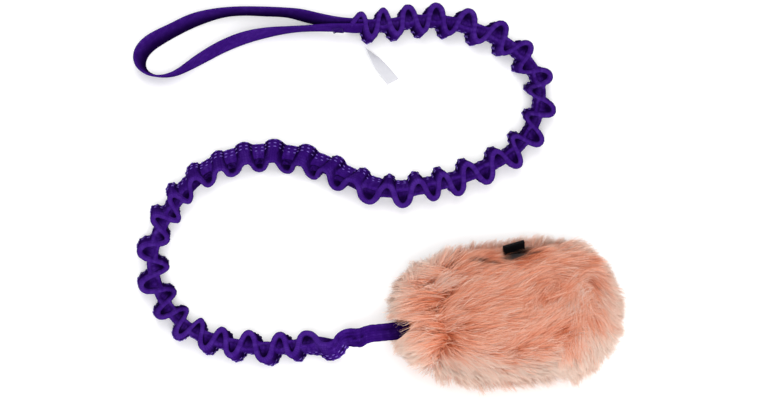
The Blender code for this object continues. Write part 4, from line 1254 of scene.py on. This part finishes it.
def blades(name, lines, tuft, n, look, seed, width=0.00034):
    r = np.random.default_rng(seed)
    count, points = lines.shape[:2]
    d = unit(np.gradient(lines, axis=1))
    across = unit(np.cross(d, n[:, None] + 0 * d))
    roll = r.normal(0, 0.5, count)[:, None, None]
    across = unit(across * np.cos(roll) + np.cross(d, across) * np.sin(roll))
    f = np.linspace(0, 1, points)
    w = width * r.uniform(0.6, 1.4, count)[:, None] * (1.0 - 0.84 * f**1.6)[None]
    left = lines - across * w[..., None] / 2
    right = lines + across * w[..., None] / 2
    verts_ = np.stack([left, right], axis=2).reshape(-1, 3)
    verts_[:, 2] = np.maximum(verts_[:, 2], 0.0003)
    base = (np.arange(count) * points * 2)[:, None] + (np.arange(points - 1) * 2)[None]
    faces_ = np.stack([base, base + 1, base + 3, base + 2], axis=-1).reshape(-1, 4)
    ob = mesh_object(name, verts_, faces_.astype(np.int32), look)
    me = ob.data
    # Tone: dark root, pale tip, a shade of its own, and the part of the pouch it is on.
    uv, _ = on_sheet(lines[:, points // 2])
    plan = lines[:, points // 2] @ ROT
    rim = np.hypot(plan[:, 0] / 0.076, plan[:, 1] / 0.050)
    tuft_shade = np.random.default_rng(seed + 5).normal(0, 0.095, tuft.max() + 1)[tuft]
    # Painted shade and shadow from the partings table deepen the tone; values below zero paint it lighter.
    part = np.zeros(count)
    for pu, pv, pr, depth in PARTINGS_AND_SHADE:
        part += depth * np.exp(-((uv[:, 0] - pu) ** 2 + ((uv[:, 1] - pv) * 1.4) ** 2) / (2 * pr * pr))
    whole_tone = 0.25 + tuft_shade + r.normal(0, 0.10, count) + 0.20 * smooth_step(rim, 0.70, 1.0) - part
    tone = whole_tone[:, None] + 0.46 * f[None] ** 0.9 + 0.16 * smooth_step(rim, 0.8, 1.1)[:, None] * f[None]
    tone = np.clip(np.repeat(tone[..., None], 2, axis=2), 0, 1)
    attribute = me.attributes.new("tone", "FLOAT", "POINT")
    attribute.data.foreach_set("value", tone.astype(np.float32).ravel())
    # Painted shadow under the pull tab and the black of the fastening on the upper pile, by whole tufts.
    places, _ = on_sheet(lines)
    dim = tab_shadow_and_tape(places)
    shown = np.random.default_rng(seed + 9).uniform(0, 1, tuft.max() + 1)[tuft]
    dim = np.clip(dim * (0.25 + 1.3 * shown)[:, None], 0, 1) * ("upper" in name)
    dim = np.repeat(dim[..., None], 2, axis=2)
    attribute = me.attributes.new("dim", "FLOAT", "POINT")
    attribute.data.foreach_set("value", dim.astype(np.float32).ravel())
    # Map for a bake: every strand has a small column of its own.
    cols = int(math.ceil(math.sqrt(count * 0.55)))
    rows = int(math.ceil(count / cols))
    cx = (np.arange(count) % cols)[:, None, None] / cols
    cy = (np.arange(count) // cols)[:, None, None] / rows
    mx = cx + np.array([0.12, 0.88])[None, None] / cols + 0 * f[None, :, None]
    my = cy + (0.05 + 0.9 * f)[None, :, None] / rows + 0 * mx
    map_ = np.stack([mx, my], axis=-1).reshape(-1, 2).astype(np.float32)
    layer = me.uv_layers.new(name="OFBake")
    layer.data.foreach_set("uv", map_[faces_.reshape(-1)].ravel())
    return ob


UPPER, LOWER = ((70000, 40000))
for word, sign, h, count, body_name, seed, pieces in (
    ("upper", 1, SKIN_TOP, UPPER, "flap", 11, 4),
    ("lower", -1, SKIN_BOTTOM, LOWER, "pouch", 23, 3),
):
    p, n = roots(count, sign, h, seed)
    lines = strands(p, n, sign, seed + 1)
    lines, _ = gather(lines, len(lines) // 120, 0.22, seed + 2)
    lines, tuft = gather(lines, len(lines) // 8, 0.60, seed + 3)
    lines = curl(lines, seed + 4)
    keep = groomed(lines, seed + 5)
    p, n, lines, tuft = p[keep], n[keep], lines[keep], tuft[keep]
    for i, share in enumerate(np.array_split(np.argsort(p[:, 0], kind="stable"), pieces)):
        ob = blades(
            f"pouch_{word}_pile_{i + 1}", lines[share], tuft[share], n[share], fur_look, seed + 6 + i,
            width=0.00034,
        )
        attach(ob, body_name)

# ------------------------------------------------------------------------ stage
floor = mesh_object("floor", [(-3, -3, 0), (3, -3, 0), (3, 3, 0), (-3, 3, 0)], [(0, 1, 2, 3)], None or bpy.data.materials.new("floor"), smooth=False)
floor_look = floor.data.materials[0]
floor_look.use_nodes = True
floor_look.node_tree.nodes["Principled BSDF"].inputs["Base Color"].default_value = (0.97, 0.97, 0.97, 1)
floor_look.node_tree.nodes["Principled BSDF"].inputs["Roughness"].default_value = 0.9
floor_look.node_tree.nodes["Principled BSDF"].inputs["Emission Color"].default_value = (1, 1, 1, 1)
floor_look.node_tree.nodes["Principled BSDF"].inputs["Emission Strength"].default_value = 0.10


def area_light(name, at, look_at, size_, power, colour=(1, 1, 1)):
    data = bpy.data.lights.new(name, "AREA")
    data.shape = "RECTANGLE"
    data.size, data.size_y = size_
    data.energy = power
    data.color = colour
    ob = bpy.data.objects.new(name, data)
    bpy.context.scene.collection.objects.link(ob)
    ob.location = at
    ob.rotation_euler = (Vector(look_at) - Vector(at)).to_track_quat("-Z", "Y").to_euler()
    return ob


middle = (-0.08, 0.10, 0.0)
area_light("key", (-0.05, -0.95, 1.15), middle, (0.8, 0.6), 15.5)
area_light("top", (-0.08, 0.20, 1.6), middle, (1.4, 1.4), 10.0)
area_light("fill", (0.9, -0.5, 1.0), middle, (0.8, 0.8), 3.5)
area_light("back", (-0.3, 1.2, 1.2), middle, (1.0, 0.6), 3.0)
world = bpy.data.worlds.new("world")
world.use_nodes = True
world.node_tree.nodes["Background"].inputs[0].default_value = (1, 1, 1, 1)
world.node_tree.nodes["Background"].inputs[1].default_value = 0.42
bpy.context.scene.world = world
bpy.context.scene.view_settings.view_transform = "Standard"
